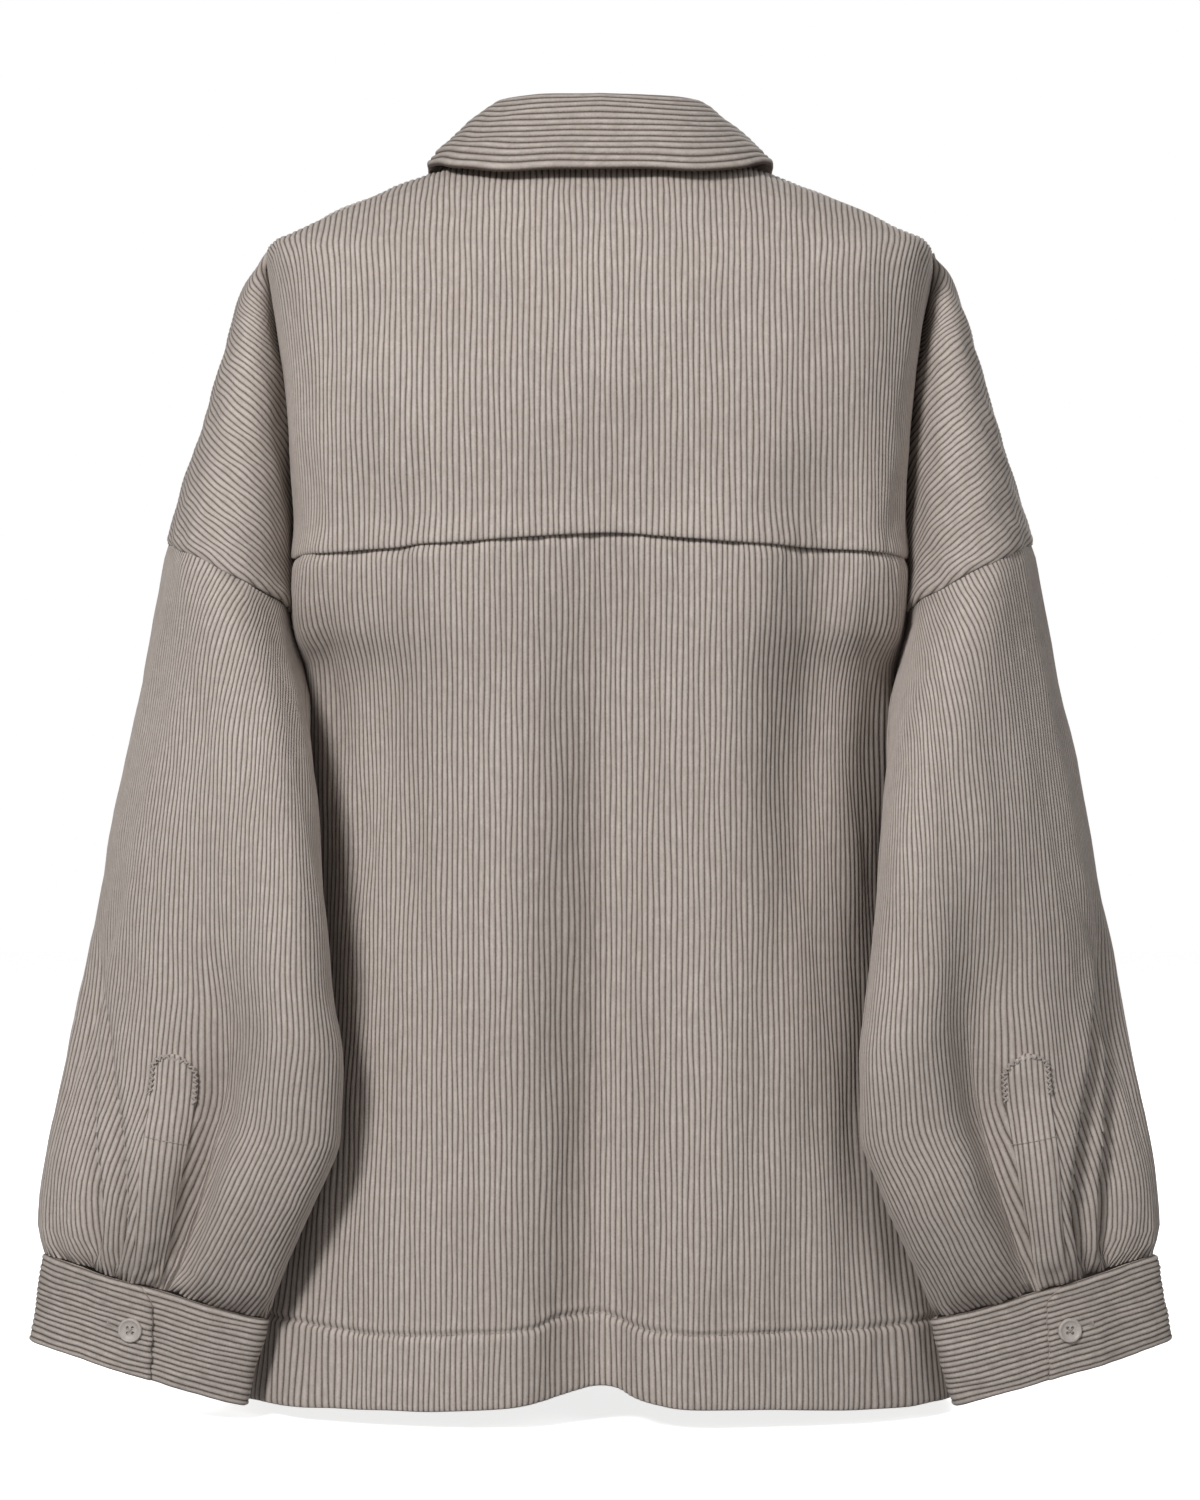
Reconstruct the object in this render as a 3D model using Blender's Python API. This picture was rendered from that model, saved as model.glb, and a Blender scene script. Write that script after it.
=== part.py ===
"""A boxy corduroy overshirt, filled out as if worn, with nobody in it.

The back faces -Y, the front faces +Y, and the wearer's left arm is at -X.
The origin is the point between the two places where the shoulders meet the neck.
Every panel is a thin wall. Its outer points come from short tables of sizes in
millimetres, read as smooth curves, and its inner points lie one cloth thickness inside.
"""

import math

import bpy
import numpy as np

MM = 0.001

CLOTH = 2.0 * MM
HEM_CLOTH = 3.4 * MM
BAND_CLOTH = 3.0 * MM
STRIP_CLOTH = 1.6 * MM
SEAM_GAP = 0.32 * MM
SHARP_CORNER = 0.2
GROOVE_TURN = 0.5

BACK_COLUMNS = 15
FRONT_COLUMNS = 10
PLACKET_HALF_WIDTH = 17.0
PLACKET_THIN_ABOVE = -72.0 * MM
HEM_ROW = 19
LAST_ROW = 20
YOKE_ROW = 8
APEX_ROW = 4
PIT_ROW = 10

BUTTON_RADIUS = 7.4 * MM
BUTTON_THICK = 2.8 * MM
BUTTON_SIDES = 14
BUTTON_SEAT = 0.3 * MM
FRONT_BUTTON_HEIGHTS = (-96, -204, -312, -420, -528, -636)


class Table:
    """Named columns of sizes, the first of them the key, read as smooth curves."""

    def __init__(self, columns, rows):
        self.columns = columns.split()
        self.values = np.array(rows, float)

    def read(self, column, key):
        keys = self.values[:, 0]
        sizes = self.values[:, self.columns.index(column)]
        return smooth_curve(keys, sizes, key)


def smooth_curve(keys, sizes, at):
    """A cubic through the sizes that never overshoots them."""
    steps = np.diff(keys)
    slopes = np.diff(sizes) / steps
    before, after = slopes[:-1], slopes[1:]
    same_way = before * after > 0
    total = np.where(same_way, before + after, 1.0)
    inner = np.where(same_way, 2 * before * after / total, 0.0)
    tangents = np.concatenate([slopes[:1], inner, slopes[-1:]])
    cell = np.clip(np.searchsorted(keys, at, side="right") - 1, 0, len(steps) - 1)
    t = np.clip((at - keys[cell]) / steps[cell], 0.0, 1.0)
    rise = sizes[cell + 1] - sizes[cell]
    return (sizes[cell] + rise * t * t * (3 - 2 * t)
            + steps[cell] * t * (1 - t) * ((1 - t) * tangents[cell] - t * tangents[cell + 1]))


# The body: one row for each level, from the neck seam to the hem
BODY = Table("row back_z front_z side_z side_x side_y back_deep front_deep back_square"
             " front_square groove", [
    (0, 4, -68, 17, 76, -4, 66, 62, 2.1, 2.1, 0),
    (1, -11, -83, 7, 106, -4, 82, 70, 2.2, 2.2, 0),
    (2, -28, -97, -9, 146, -4, 96, 79, 2.4, 2.4, 0),
    (3, -49, -114, -27, 183, -4, 106, 88, 2.7, 2.6, 0),
    (4, -72, -131, -43, 206, -4, 113, 95, 3.1, 2.8, 0),
    (5, -98, -149, -88, 198.5, -4, 117, 99, 3.4, 3.0, 16),
    (6, -134, -173, -131, 193, -3, 120, 103, 3.7, 3.2, 26),
    (7, -175, -203, -178, 189, -2, 121, 107, 3.9, 3.3, 30),
    (8, -222, -236, -232, 185.5, -1, 121, 110, 3.9, 3.3, 26),
    (9, -250, -258, -258, 184, 0, 121, 111, 3.7, 3.2, 15),
    (10, -275, -277, -278, 181, 0, 121, 111, 3.2, 3.0, 0),
    (11, -295, -295, -296, 177, 20, 121, 111, 2.8, 2.9, 0),
    (12, -318, -318, -318, 178, 34, 121, 111, 2.55, 2.8, 0),
    (13, -364, -364, -364, 179.5, 42, 121, 112, 2.45, 2.7, 0),
    (14, -412, -412, -412, 181, 42, 122, 113, 2.45, 2.6, 0),
    (15, -470, -470, -470, 182.5, 38, 123, 114, 2.5, 2.5, 0),
    (16, -528, -530, -530, 186, 32, 124, 115, 2.5, 2.5, 0),
    (17, -587, -590, -591, 195, 24, 125, 116, 2.4, 2.4, 0),
    (18, -646, -650, -651, 207, 15, 126, 117, 2.4, 2.4, 0),
    (19, -697, -702, -703, 216, 8, 127, 118, 2.4, 2.4, 0),
    (20, -743, -748, -749, 222, 4, 128, 119, 2.4, 2.4, 0),
])
BACK_ROW_BOW = 1.5
FRONT_ROW_BOW = 1.8

# Soft folds down the body: where each lies and how deep it is at three heights
BACK_FOLDS = Table("z trough_x trough_left trough_right trough drag", [
    (-760, -12, 24, 17, 24, 0),
    (-702, -14, 24, 17, 22, 0),
    (-560, -20, 25, 18, 16, 0),
    (-400, -24, 30, 22, 9, 1),
    (-260, -24, 34, 28, 2, 4),
    (-215, -24, 34, 28, 0, 5),
    (-130, -24, 34, 28, 0, 0),
])
FRONT_FOLDS = Table("z fold_x fold_wide fold", [
    (-760, 96, 26, 15),
    (-560, 100, 28, 11),
    (-400, 106, 32, 6),
    (-240, 112, 34, 0),
])
DRAG_X = 128.0
DRAG_WIDE = 15.0
FOLD_LIFT = 0.3
SIDE_FADE = 8

# The shoulder part that hangs over the upper arm, one row for each level
SHOULDER = Table("row tip_z tip_x deep open", [
    (4, -43, 206, 6, 0),
    (4.5, -58, 217, 25, 0.5),
    (5, -78, 225, 42, 1),
    (6, -113, 235, 60, 2),
    (7, -148, 245, 76, 2.6),
    (8, -183, 256, 88, 2.6),
    (9, -206, 263, 94, 2.6),
    (10, -224, 268, 97, 2.6),
])
SHOULDER_SLOPE = 0.45
ARM_SQUARE = 2.2
GROOVE_SHARPNESS = 6

# The sleeve: one row for each ring, from the shoulder seam to the cuff seam
SLEEVE = Table("ring z outer_x inner_x centre_y deep lean slope dip open", [
    (0, -243.575, 268, 181, 0, 97, 0, 0.45, 14.85, 2.6),
    (0.5, -270, 273, 178.5, -12, 95, 16, 0.44, 9, 1.5),
    (1, -300, 278.5, 173, -23, 91, 30, 0.42, 4, 0),
    (2, -350, 288, 167, -43, 82, 44, 0.38, 0, 0),
    (3, -412, 299.5, 163.5, -60, 73, 47, 0.34, 0, 0),
    (4, -465, 309, 160, -68, 66, 47, 0.32, 0, 0),
    (5, -512, 317.5, 155, -73, 59, 45, 0.30, 0, 0),
    (6, -556, 325.5, 155, -77, 50, 38, 0.28, 0, 0),
    (7, -596, 332.5, 169, -77, 46, 32, 0.27, 0, 0),
    (8, -634, 339, 186, -73, 40, 25, 0.27, 0, 0),
    (9, -660, 341, 196, -70, 30, 18, 0.27, 0, 0),
    (10, -676, 338, 202, -68, 17, 11, 0.27, 0, 0),
])
SLEEVE_RINGS = (0, 0.5, 1, 2, 3, 4, 5, 5.6, 5.8, 6.4, 7, 8, 9, 9.6, 10)
EVEN_RINGS = 4.0

# Where the sleeve's folds lie across it, and how far each is pushed in
SLEEVE_FOLDS = Table("ring pleat_a_x pleat_b_x strip_outer_x strip_inner_x trough_x"
                     " pleat_a pleat_b trough trough_wide", [
    (0, 253, 245, 240, 234, 230, 0, 0, 0, 24),
    (3, 284, 272, 260, 238, 230, 0, 0, 4, 22),
    (4, 305, 292, 263, 239, 229, 2, 1, 7, 20),
    (5, 314, 306, 264, 239, 229, 5, 4, 12, 17),
    (6, 315, 298, 268, 242, 234, 8, 7, 17, 14),
    (7, 311, 290, 273, 249, 243, 9, 9, 19, 11),
    (8, 306, 286, 277, 257, 252, 8, 9, 17, 10),
    (9, 305, 289, 280, 262, 258, 5, 6, 11, 9),
    (10, 308, 294, 283, 266, 262, 1.5, 1.5, 2, 8),
])
PLEAT_RUN = 13.0
PLEAT_STEEP = 5.0
FOLD_COLUMNS = ("pleat_a_x", "pleat_b_x", "strip_outer_x", "strip_inner_x", "trough_x")
COLUMNS_TO_FOLDS = (2, 4, 5, 7, 8)
STRIP_COLUMNS = (5, 7)
STRIP_TIP_RING = 5.6
STRIP_END_RING = 9.6
SLEEVE_BACK_COLUMNS = 14
SLEEVE_FRONT_COLUMNS = 10

# The cuff: its upper and lower edges as rings of the same kind
CUFF = Table("edge z outer_x inner_x centre_y deep lean slope dip open", [
    (0, -676.6, 338, 202, -68, 17, 11, 0.27, 0, 0),
    (1, -729, 346, 215, -66, 17, 11, 0.275, 0, 0),
])
CUFF_COLUMNS = 26
CUFF_TAB_X = 268.0
CUFF_UNDER_X = 293.0
CUFF_LAP = 1.9
CUFF_LAP_RUN = 20.0
CUFF_BUTTON_X = 283.0

# The collar around half the neck, from the middle of the back to the front point
COLLAR = Table("angle fold_x fold_y fold_z edge_x edge_y edge_clear", [
    (0, 0, -54, 45, 0, -89, 18),
    (30, 34, -47, 45, 54, -86, 15),
    (60, 58, -27, 45, 94, -60, 9),
    (85, 66, -3, 40, 107, -20, 5),
    (105, 62, 16, 27, 107, 14, 4),
    (130, 48, 38, 3, 94, 52, 5),
    (155, 26, 55, -27, 80, 70, 6),
    (175, 6, 63, -44, 60, 84, 7),
])
COLLAR_ANGLES = (0, 12, 24, 36, 48, 60, 72, 85, 98, 112, 126, 140, 155, 168, 175)
COLLAR_FALL = ((0.0, 0.0, 0.0), (0.0, 2.2, 0.1), (0.04, 4.2, 2.0), (0.14, 4.6, 4.0),
               (0.38, 3.6, 5.0), (0.68, 2.0, 4.0), (1.0, 0.0, 0.0))
STAND_LEVELS = (0.0, 0.5, 1.0)
STAND_SEAT = 1.5
COLLAR_SEAM = 0.9
COLLAR_CLOTH = 2.4 * MM


# Plan curves and evenly spaced points
def along(points, shares):
    """Points at the given shares of a curve's length."""
    lengths = np.concatenate([[0.0], np.cumsum(np.linalg.norm(np.diff(points, axis=0), axis=1))])
    wanted = np.asarray(shares) * lengths[-1]
    return np.stack([np.interp(wanted, lengths, points[:, k]) for k in range(3)], axis=1)


def bump(distance, width):
    return np.exp(-(distance / width) ** 2 / 2)


def body_curve(row, face, samples=160):
    """One level of the body, from its middle to its side, at +X."""
    away = -1 if face == "back" else 1
    side_x = BODY.read("side_x", row)
    side_y = BODY.read("side_y", row)
    deep = BODY.read(face + "_deep", row) - away * side_y
    square = BODY.read(face + "_square", row)
    groove = BODY.read("groove", row)
    middle_z = BODY.read(face + "_z", row)
    side_z = BODY.read("side_z", row)
    half_width = side_x / (1 - (groove / deep) ** square) ** (1 / square)
    last = math.asin(min(1.0, side_x / half_width) ** (square / 2))
    angle = np.linspace(0.0, last, samples)
    x = half_width * np.sin(angle) ** (2 / square)
    y = deep * np.cos(angle) ** (2 / square)
    y[-1] = groove
    x[-1] = side_x
    bow = BACK_ROW_BOW if face == "back" else FRONT_ROW_BOW
    z = middle_z + (side_z - middle_z) * (x / side_x) ** bow
    return np.stack([x, side_y + away * y, z], axis=1)


def fold_body(points, face, side):
    """Push the body's folds in, towards the wearer, and lift the cloth in them."""
    x, z = points[:, 0] * side, points[:, 2]
    fade = 1 - (points[:, 0] / points[-1, 0]) ** SIDE_FADE
    if face == "back":
        centre = BACK_FOLDS.read("trough_x", z)
        wide = np.where(x < centre, BACK_FOLDS.read("trough_left", z),
                        BACK_FOLDS.read("trough_right", z))
        trough = BACK_FOLDS.read("trough", z) * bump(x - centre, wide) * fade
        drag = BACK_FOLDS.read("drag", z) * bump(np.abs(x) - DRAG_X, DRAG_WIDE) * fade
    else:
        away = np.abs(x) - FRONT_FOLDS.read("fold_x", z)
        trough = FRONT_FOLDS.read("fold", z) * bump(away, FRONT_FOLDS.read("fold_wide", z)) * fade
        drag = 0.0
    folded = points.copy()
    folded[:, 1] += (trough + drag) * (1 if face == "back" else -1)
    folded[:, 2] += FOLD_LIFT * trough
    return folded


def body_row(row, face, side):
    """The panel's points across one level, from the middle to the side."""
    curve = fold_body(body_curve(row, face), face, side)
    length = np.linalg.norm(np.diff(curve, axis=0), axis=1).sum()
    if face == "back":
        shares = np.linspace(0, 1, BACK_COLUMNS + 1)
    else:
        placket = PLACKET_HALF_WIDTH / length
        shares = np.concatenate([[0.0], np.linspace(placket, 1, FRONT_COLUMNS)])
    points = along(curve, shares)
    points[:, 0] *= side
    return points * MM


def ring_curve(sizes, start, end, samples=361):
    """A leaning, squared ring read from a table row, between two angles in degrees."""
    half = (sizes["outer_x"] - sizes["inner_x"]) / 2
    centre_x = (sizes["outer_x"] + sizes["inner_x"]) / 2
    angle = np.radians(np.linspace(start, end, samples))
    power = 2 / ARM_SQUARE
    across = np.sign(np.cos(angle)) * np.abs(np.cos(angle)) ** power
    around = np.sign(np.sin(angle)) * np.abs(np.sin(angle)) ** power
    deepness = np.clip((1 - np.abs(around)) / (1 - sizes.get("groove_share", 0.0)), 0, 1)
    deepness = np.where(across < 0, deepness, 0.0)
    x = centre_x + half * across
    x = x + sizes["open"] * (1 - deepness ** GROOVE_SHARPNESS) * np.maximum(-across, 0)
    y = sizes["centre_y"] + sizes["lean"] * across - sizes["deep"] * around
    z = sizes["z"] + sizes["slope"] * half * across - sizes["dip"] * deepness ** 2
    return np.stack([x, y, z], axis=1)


def shoulder_row(row, face, side):
    """The shoulder part's points from the top of the arm to the groove at the armhole."""
    groove = BODY.read("groove", row)
    groove_x = BODY.read("side_x", row)
    groove_z = BODY.read("side_z", row)
    tip_x = SHOULDER.read("tip_x", row)
    tip_z = SHOULDER.read("tip_z", row)
    deep = SHOULDER.read("deep", row)
    ridge = BODY.read("side_y", row)
    share = groove / deep
    reach = (1 - share ** ARM_SQUARE) ** (1 / ARM_SQUARE)
    half = (tip_x - groove_x) / (1 + reach)
    last = 180 - math.degrees(math.asin(share ** (ARM_SQUARE / 2)))
    away = 1 if face == "back" else -1
    dip = tip_z - SHOULDER_SLOPE * (tip_x - groove_x) - groove_z
    sizes = {"outer_x": tip_x, "inner_x": tip_x - 2 * half, "centre_y": ridge, "deep": away * deep,
             "lean": 0.0, "z": tip_z - SHOULDER_SLOPE * half, "slope": SHOULDER_SLOPE, "dip": dip,
             "open": SHOULDER.read("open", row), "groove_share": share}
    curve = ring_curve(sizes, 0, last)
    count = SLEEVE_BACK_COLUMNS if face == "back" else SLEEVE_FRONT_COLUMNS
    points = along(curve, np.linspace(0, 1, count + 1))
    points[:, 0] *= side
    return points * MM


def fold_sleeve(curve, ring):
    """Push the sleeve's trough and its two pleats in, on the side that faces back."""
    tangent = np.gradient(curve[:, :2], axis=0)
    tangent /= np.linalg.norm(tangent, axis=1)[:, None]
    inward = np.stack([-tangent[:, 1], tangent[:, 0]], axis=1)
    x = curve[:, 0]
    facing_back = np.clip(inward[:, 1] * 3, 0, 1)
    push = SLEEVE_FOLDS.read("trough", ring) * bump(
        x - SLEEVE_FOLDS.read("trough_x", ring), SLEEVE_FOLDS.read("trough_wide", ring))
    for pleat in ("pleat_a", "pleat_b"):
        past = x - SLEEVE_FOLDS.read(pleat + "_x", ring)
        run = np.exp(-np.maximum(past, 0) / PLEAT_RUN)
        push = push + SLEEVE_FOLDS.read(pleat, ring) * np.where(past > 0, run, bump(past, PLEAT_STEEP))
    folded = curve.copy()
    folded[:, :2] += inward * (push * facing_back)[:, None]
    return folded


def sleeve_columns(curve, ring):
    """Shares of the ring's length where its columns lie: even at the top, on the folds below."""
    steps = np.linalg.norm(np.diff(curve, axis=0), axis=1)
    lengths = np.concatenate([[0.0], np.cumsum(steps)])
    half = len(curve) // 2
    back_length = lengths[half]
    even = np.linspace(0, 1, SLEEVE_BACK_COLUMNS + 1)
    marks = [0.0]
    for name in FOLD_COLUMNS:
        nearest = np.argmin(np.abs(curve[:half, 0] - SLEEVE_FOLDS.read(name, ring)))
        marks.append(lengths[nearest] / back_length)
    marks.append(1.0)
    on_folds = np.interp(np.arange(SLEEVE_BACK_COLUMNS + 1),
                         (0, *COLUMNS_TO_FOLDS, SLEEVE_BACK_COLUMNS), marks)
    weight = min(1.0, ring / EVEN_RINGS)
    back = (even * (1 - weight) + on_folds * weight) * back_length
    front = np.linspace(back_length, lengths[-1], SLEEVE_FRONT_COLUMNS + 1)[1:]
    return np.concatenate([back, front]) / lengths[-1]


def ring_sizes(table, key):
    return {name: table.read(name, key) for name in table.columns[1:]}


def sleeve_ring(ring, side):
    """All the sleeve's points around one ring, from the outer side, by the back."""
    curve = fold_sleeve(ring_curve(ring_sizes(SLEEVE, ring), 0, 360, 721), ring)
    points = along(curve, sleeve_columns(curve, ring))
    points[-1] = points[0]
    points[:, 0] *= side
    return points * MM


# Walls made from shared points
class Garment:
    """Points shared by all the panels, so that neighbours agree along every seam."""

    def __init__(self):
        self.points = []
        self.place = {}
        self.panels = {}
        self.thick = {}

    def index(self, point):
        key = tuple(int(round(value * 1e6)) for value in point)
        if key not in self.place:
            self.place[key] = len(self.points)
            self.points.append(np.array(point, float))
        return self.place[key]

    def add(self, panel, rows, flip, thick=CLOTH):
        """Add a grid of points to a panel as triangles that face outwards."""
        thick = [thick] * len(rows) if np.isscalar(thick) else thick
        numbers = [[self.index(point) for point in row] for row in rows]
        for row, amount in zip(numbers, thick):
            for number in row:
                self.thick.setdefault((panel, number), amount)
        faces = self.panels.setdefault(panel, [])
        for upper, lower in zip(numbers[:-1], numbers[1:]):
            for k in range(len(upper) - 1):
                corners = (upper[k], lower[k], lower[k + 1], upper[k + 1])
                for face in (corners[:3], (corners[0], corners[2], corners[3])):
                    if len(set(face)) == 3:
                        faces.append(face[::-1] if flip else face)
        return numbers

    def normals(self):
        """One outward direction for each point, from every face that meets there."""
        points = np.array(self.points)
        total = np.zeros_like(points)
        for faces in self.panels.values():
            for face in faces:
                corners = points[list(face)]
                normal = np.cross(corners[1] - corners[0], corners[2] - corners[0])
                size = np.linalg.norm(normal)
                if size < 1e-12:
                    continue
                for k in range(3):
                    ahead = corners[(k + 1) % 3] - corners[k]
                    behind = corners[k - 1] - corners[k]
                    cosine = ahead @ behind / (np.linalg.norm(ahead) * np.linalg.norm(behind))
                    total[face[k]] += normal / size * math.acos(max(-1.0, min(1.0, cosine)))
        return total / np.linalg.norm(total, axis=1)[:, None]


def surface_normals(points, faces):
    """One outward direction for each point of these faces, larger faces counting more."""
    total = np.zeros_like(points)
    for face in faces:
        corners = points[list(face)]
        normal = np.cross(corners[1] - corners[0], corners[2] - corners[0])
        for number in face:
            total[number] += normal
    size = np.linalg.norm(total, axis=1)[:, None]
    return total / np.where(size > 0, size, 1.0)


def open_edges(faces):
    """The edges that only one face uses, in the direction that face walks them."""
    walked = {}
    for face in faces:
        for k in range(3):
            walked[(face[k], face[(k + 1) % 3])] = face
    return {edge: face for edge, face in walked.items() if edge[::-1] not in walked}


def drawn_in(points, faces, gap):
    """Move the points of a panel's edges in, so that neighbours lie apart at the seam."""
    pulls = {}
    for (start, end), face in open_edges(faces).items():
        corners = points[list(face)]
        normal = np.cross(corners[1] - corners[0], corners[2] - corners[0])
        inward = np.cross(normal, points[end] - points[start])
        inward /= np.linalg.norm(inward)
        for number in (start, end):
            pulls.setdefault(number, []).append(inward)
    moved = points.copy()
    for number, directions in pulls.items():
        total = sum(directions)
        spread = max(SHARP_CORNER, total @ directions[0])
        moved[number] += total / spread * gap
    return moved


def facing(points, normals, faces):
    """A panel's directions: its neighbours' too, but its own where it meets them in a groove."""
    own = surface_normals(points, faces)
    agree = np.einsum("ij,ij->i", own, normals)[:, None]
    return np.where(agree < GROOVE_TURN, own, normals)


def wall(name, points, normals, faces, thick, lift, gap, material):
    """A closed wall: outer faces, inner faces and the rims that join them."""
    normals = facing(points, normals, faces)
    used = sorted({number for face in faces for number in face})
    order = {number: k for k, number in enumerate(used)}
    outer = (drawn_in(points, faces, gap) + normals * lift)[used]
    depth = np.array([thick[number] for number in used])[:, None]
    inner = outer - normals[used] * depth
    count = len(used)
    triangles = [tuple(order[n] for n in face) for face in faces]
    triangles += [tuple(order[n] + count for n in face[::-1]) for face in faces]
    for start, end in open_edges(faces):
        a, b = order[start], order[end]
        if start < end:
            triangles += [(b, a, a + count), (b, a + count, b + count)]
        else:
            triangles += [(b, a, b + count), (a, a + count, b + count)]
    return make_object(name, np.vstack([outer, inner]), triangles, material)


def make_object(name, points, faces, material):
    mesh = bpy.data.meshes.new(name)
    mesh.from_pydata([tuple(point) for point in points], [], [tuple(face) for face in faces])
    mesh.materials.append(material)
    mesh.shade_smooth()
    mesh.set_sharp_from_angle(angle=math.radians(40))
    made = bpy.data.objects.new(name, mesh)
    bpy.context.scene.collection.objects.link(made)
    return made


def make_material(name, colour, rough):
    material = bpy.data.materials.new(name)
    material.use_nodes = True
    shader = material.node_tree.nodes["Principled BSDF"]
    shader.inputs["Base Color"].default_value = (*colour, 1.0)
    shader.inputs["Roughness"].default_value = rough
    shader.inputs["Metallic"].default_value = 0.0
    return material


# The panels
def add_body(garment):
    """The yoke, the back and the two fronts, with their shoulder parts over the arms."""
    upper = [0, 1, 2, 3, 4, 4.5, 5, 6, 7, 8]
    lower = list(range(YOKE_ROW, LAST_ROW + 1))
    whole = upper + lower[1:]
    shoulder = [4, 4.5, 5, 6, 7, 8, 9, 10]
    fronts = {-1: "front_left", 1: "front_right"}
    for side in (-1, 1):
        mirrored = side < 0
        garment.add("back_yoke", [body_row(r, "back", side) for r in upper], mirrored)
        garment.add("back_panel", [body_row(r, "back", side) for r in lower], mirrored,
                    hem_thickness(lower))
        garment.add("back_yoke", [shoulder_row(r, "back", side) for r in shoulder], not mirrored)
        garment.add(fronts[side], [body_row(r, "front", side) for r in whole], not mirrored,
                    hem_thickness(whole))
        garment.add(fronts[side], [shoulder_row(r, "front", side) for r in shoulder], mirrored)


def hem_thickness(rows):
    return [HEM_CLOTH if row >= HEM_ROW else CLOTH for row in rows]


def add_sleeves(garment):
    for side, name in ((-1, "sleeve_left"), (1, "sleeve_right")):
        rings = [sleeve_ring(ring, side) for ring in SLEEVE_RINGS]
        garment.add(name, rings, side > 0)


def front_placket_faces(garment):
    """The strip down the front covers the first column of each front panel."""
    rows = [0, 1, 2, 3, 4, 4.5, *range(5, LAST_ROW + 1)]
    strip = Garment()
    strip.points = garment.points
    strip.place = garment.place
    for side in (-1, 1):
        grid = [body_row(r, "front", side)[:2] for r in rows]
        strip.add("front_placket", grid, side > 0)
    return strip.panels["front_placket"]


def sleeve_placket_faces(garment, side):
    """The pointed strip beside the sleeve's slit covers the columns between two folds."""
    first, last = STRIP_COLUMNS
    strip = Garment()
    strip.points = garment.points
    strip.place = garment.place
    rings = [ring for ring in SLEEVE_RINGS if STRIP_TIP_RING < ring <= STRIP_END_RING]
    grid = [sleeve_ring(ring, side)[first:last + 1] for ring in rings]
    numbers = strip.add("strip", grid, side > 0)
    faces = strip.panels["strip"]
    tip = strip.index(sleeve_ring(STRIP_TIP_RING, side)[(first + last) // 2])
    top = numbers[0]
    for k in range(len(top) - 1):
        face = (tip, top[k], top[k + 1])
        faces.append(face[::-1] if side > 0 else face)
    return faces


def build_cuff(name, side, material):
    """A band that goes once around and laps over its own end under the button."""
    middle = []
    for edge in (0.0, 0.5, 1.0):
        ring = ring_curve(ring_sizes(CUFF, edge), 0, 360, 721)
        visible = slice(1, len(ring) // 2)
        tab = 1 + np.argmin(np.abs(ring[visible, 0] - CUFF_TAB_X))
        under = 1 + np.argmin(np.abs(ring[visible, 0] - CUFF_UNDER_X))
        walk = np.concatenate([ring[:tab + 1][::-1], ring[under:-1][::-1]])
        middle.append(along(walk, np.linspace(0, 1, CUFF_COLUMNS + 1)))
    points, normals = [], []
    for row in middle:
        tangent = np.gradient(row[:, :2], axis=0)
        tangent /= np.linalg.norm(tangent, axis=1)[:, None]
        outward = np.stack([tangent[:, 1], -tangent[:, 0], 0 * tangent[:, 0]], axis=1)
        steps = np.linalg.norm(np.diff(row, axis=0), axis=1)
        travelled = np.concatenate([[0.0], np.cumsum(steps)])
        left = travelled[-1] - travelled
        shift = CUFF_LAP * (lap_share(travelled) - lap_share(left))
        points.append(row + outward * shift[:, None])
        normals.append(outward)
    rows = len(points)
    columns = CUFF_COLUMNS + 1
    centre = np.vstack(points) * MM
    outward = np.vstack(normals)
    centre[:, 0] *= side
    outward[:, 0] *= side
    faces = grid_faces(rows, columns, side > 0)
    return slab(name, centre, outward, faces, BAND_CLOTH, material), centre, outward


def lap_share(distance):
    """Full at the cuff's end, fading to nothing once past the overlap."""
    overlap = CUFF_UNDER_X - CUFF_TAB_X + 4
    fade = np.clip((distance - overlap) / CUFF_LAP_RUN, 0, 1)
    return 1 - fade * fade * (3 - 2 * fade)


def grid_faces(rows, columns, flip):
    faces = []
    for i in range(rows - 1):
        for k in range(columns - 1):
            a, b = i * columns + k, (i + 1) * columns + k
            for face in ((a, b, b + 1), (a, b + 1, a + 1)):
                faces.append(face if flip else face[::-1])
    return faces


def slab(name, centre, outward, faces, thick, material):
    """A closed wall built evenly to both sides of a middle surface."""
    amount = {number: thick for number in range(len(centre))}
    return wall(name, centre, outward, faces, amount, thick / 2, 0.0, material)


def neck_point(angle):
    """The neck seam at an angle around the neck: 0 at the back, 180 at the front."""
    face = "back" if angle <= 90 else "front"
    share = angle / 90 if angle <= 90 else (180 - angle) / 90
    return along(body_curve(0, face), [share])[0]


def collar_rows(levels):
    """Grids for the stand and the leaf around the whole neck."""
    rows = []
    angles = [-a for a in COLLAR_ANGLES[:0:-1]] + list(COLLAR_ANGLES)
    for level in levels:
        row = []
        for angle in angles:
            point = level(abs(angle))
            row.append(np.array([math.copysign(1, angle) * point[0], point[1], point[2]]))
        rows.append(row)
    return np.array(rows)


def fold_place(angle):
    return np.array([COLLAR.read(f"fold_{axis}", angle) for axis in "xyz"])


def edge_place(angle):
    """The leaf's lower edge stands a little above the body, right under it."""
    x, y = COLLAR.read("edge_x", angle), COLLAR.read("edge_y", angle)
    face = "back" if y < BODY.read("side_y", 0) else "front"
    levels = [body_curve(row, face) for row in np.linspace(0, PIT_ROW, 161)]
    nearest = min((point for level in levels for point in level),
                  key=lambda point: (point[0] - x) ** 2 + (point[1] - y) ** 2)
    return np.array([x, y, nearest[2] + COLLAR.read("edge_clear", angle)])


def stand_level(share):
    def level(angle):
        base, top = neck_point(angle), fold_place(angle)
        rise = (top - base) / np.linalg.norm(top - base)
        start = base + rise * STAND_SEAT
        end = top - rise * COLLAR_SEAM
        return start + (end - start) * share
    return level


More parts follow.
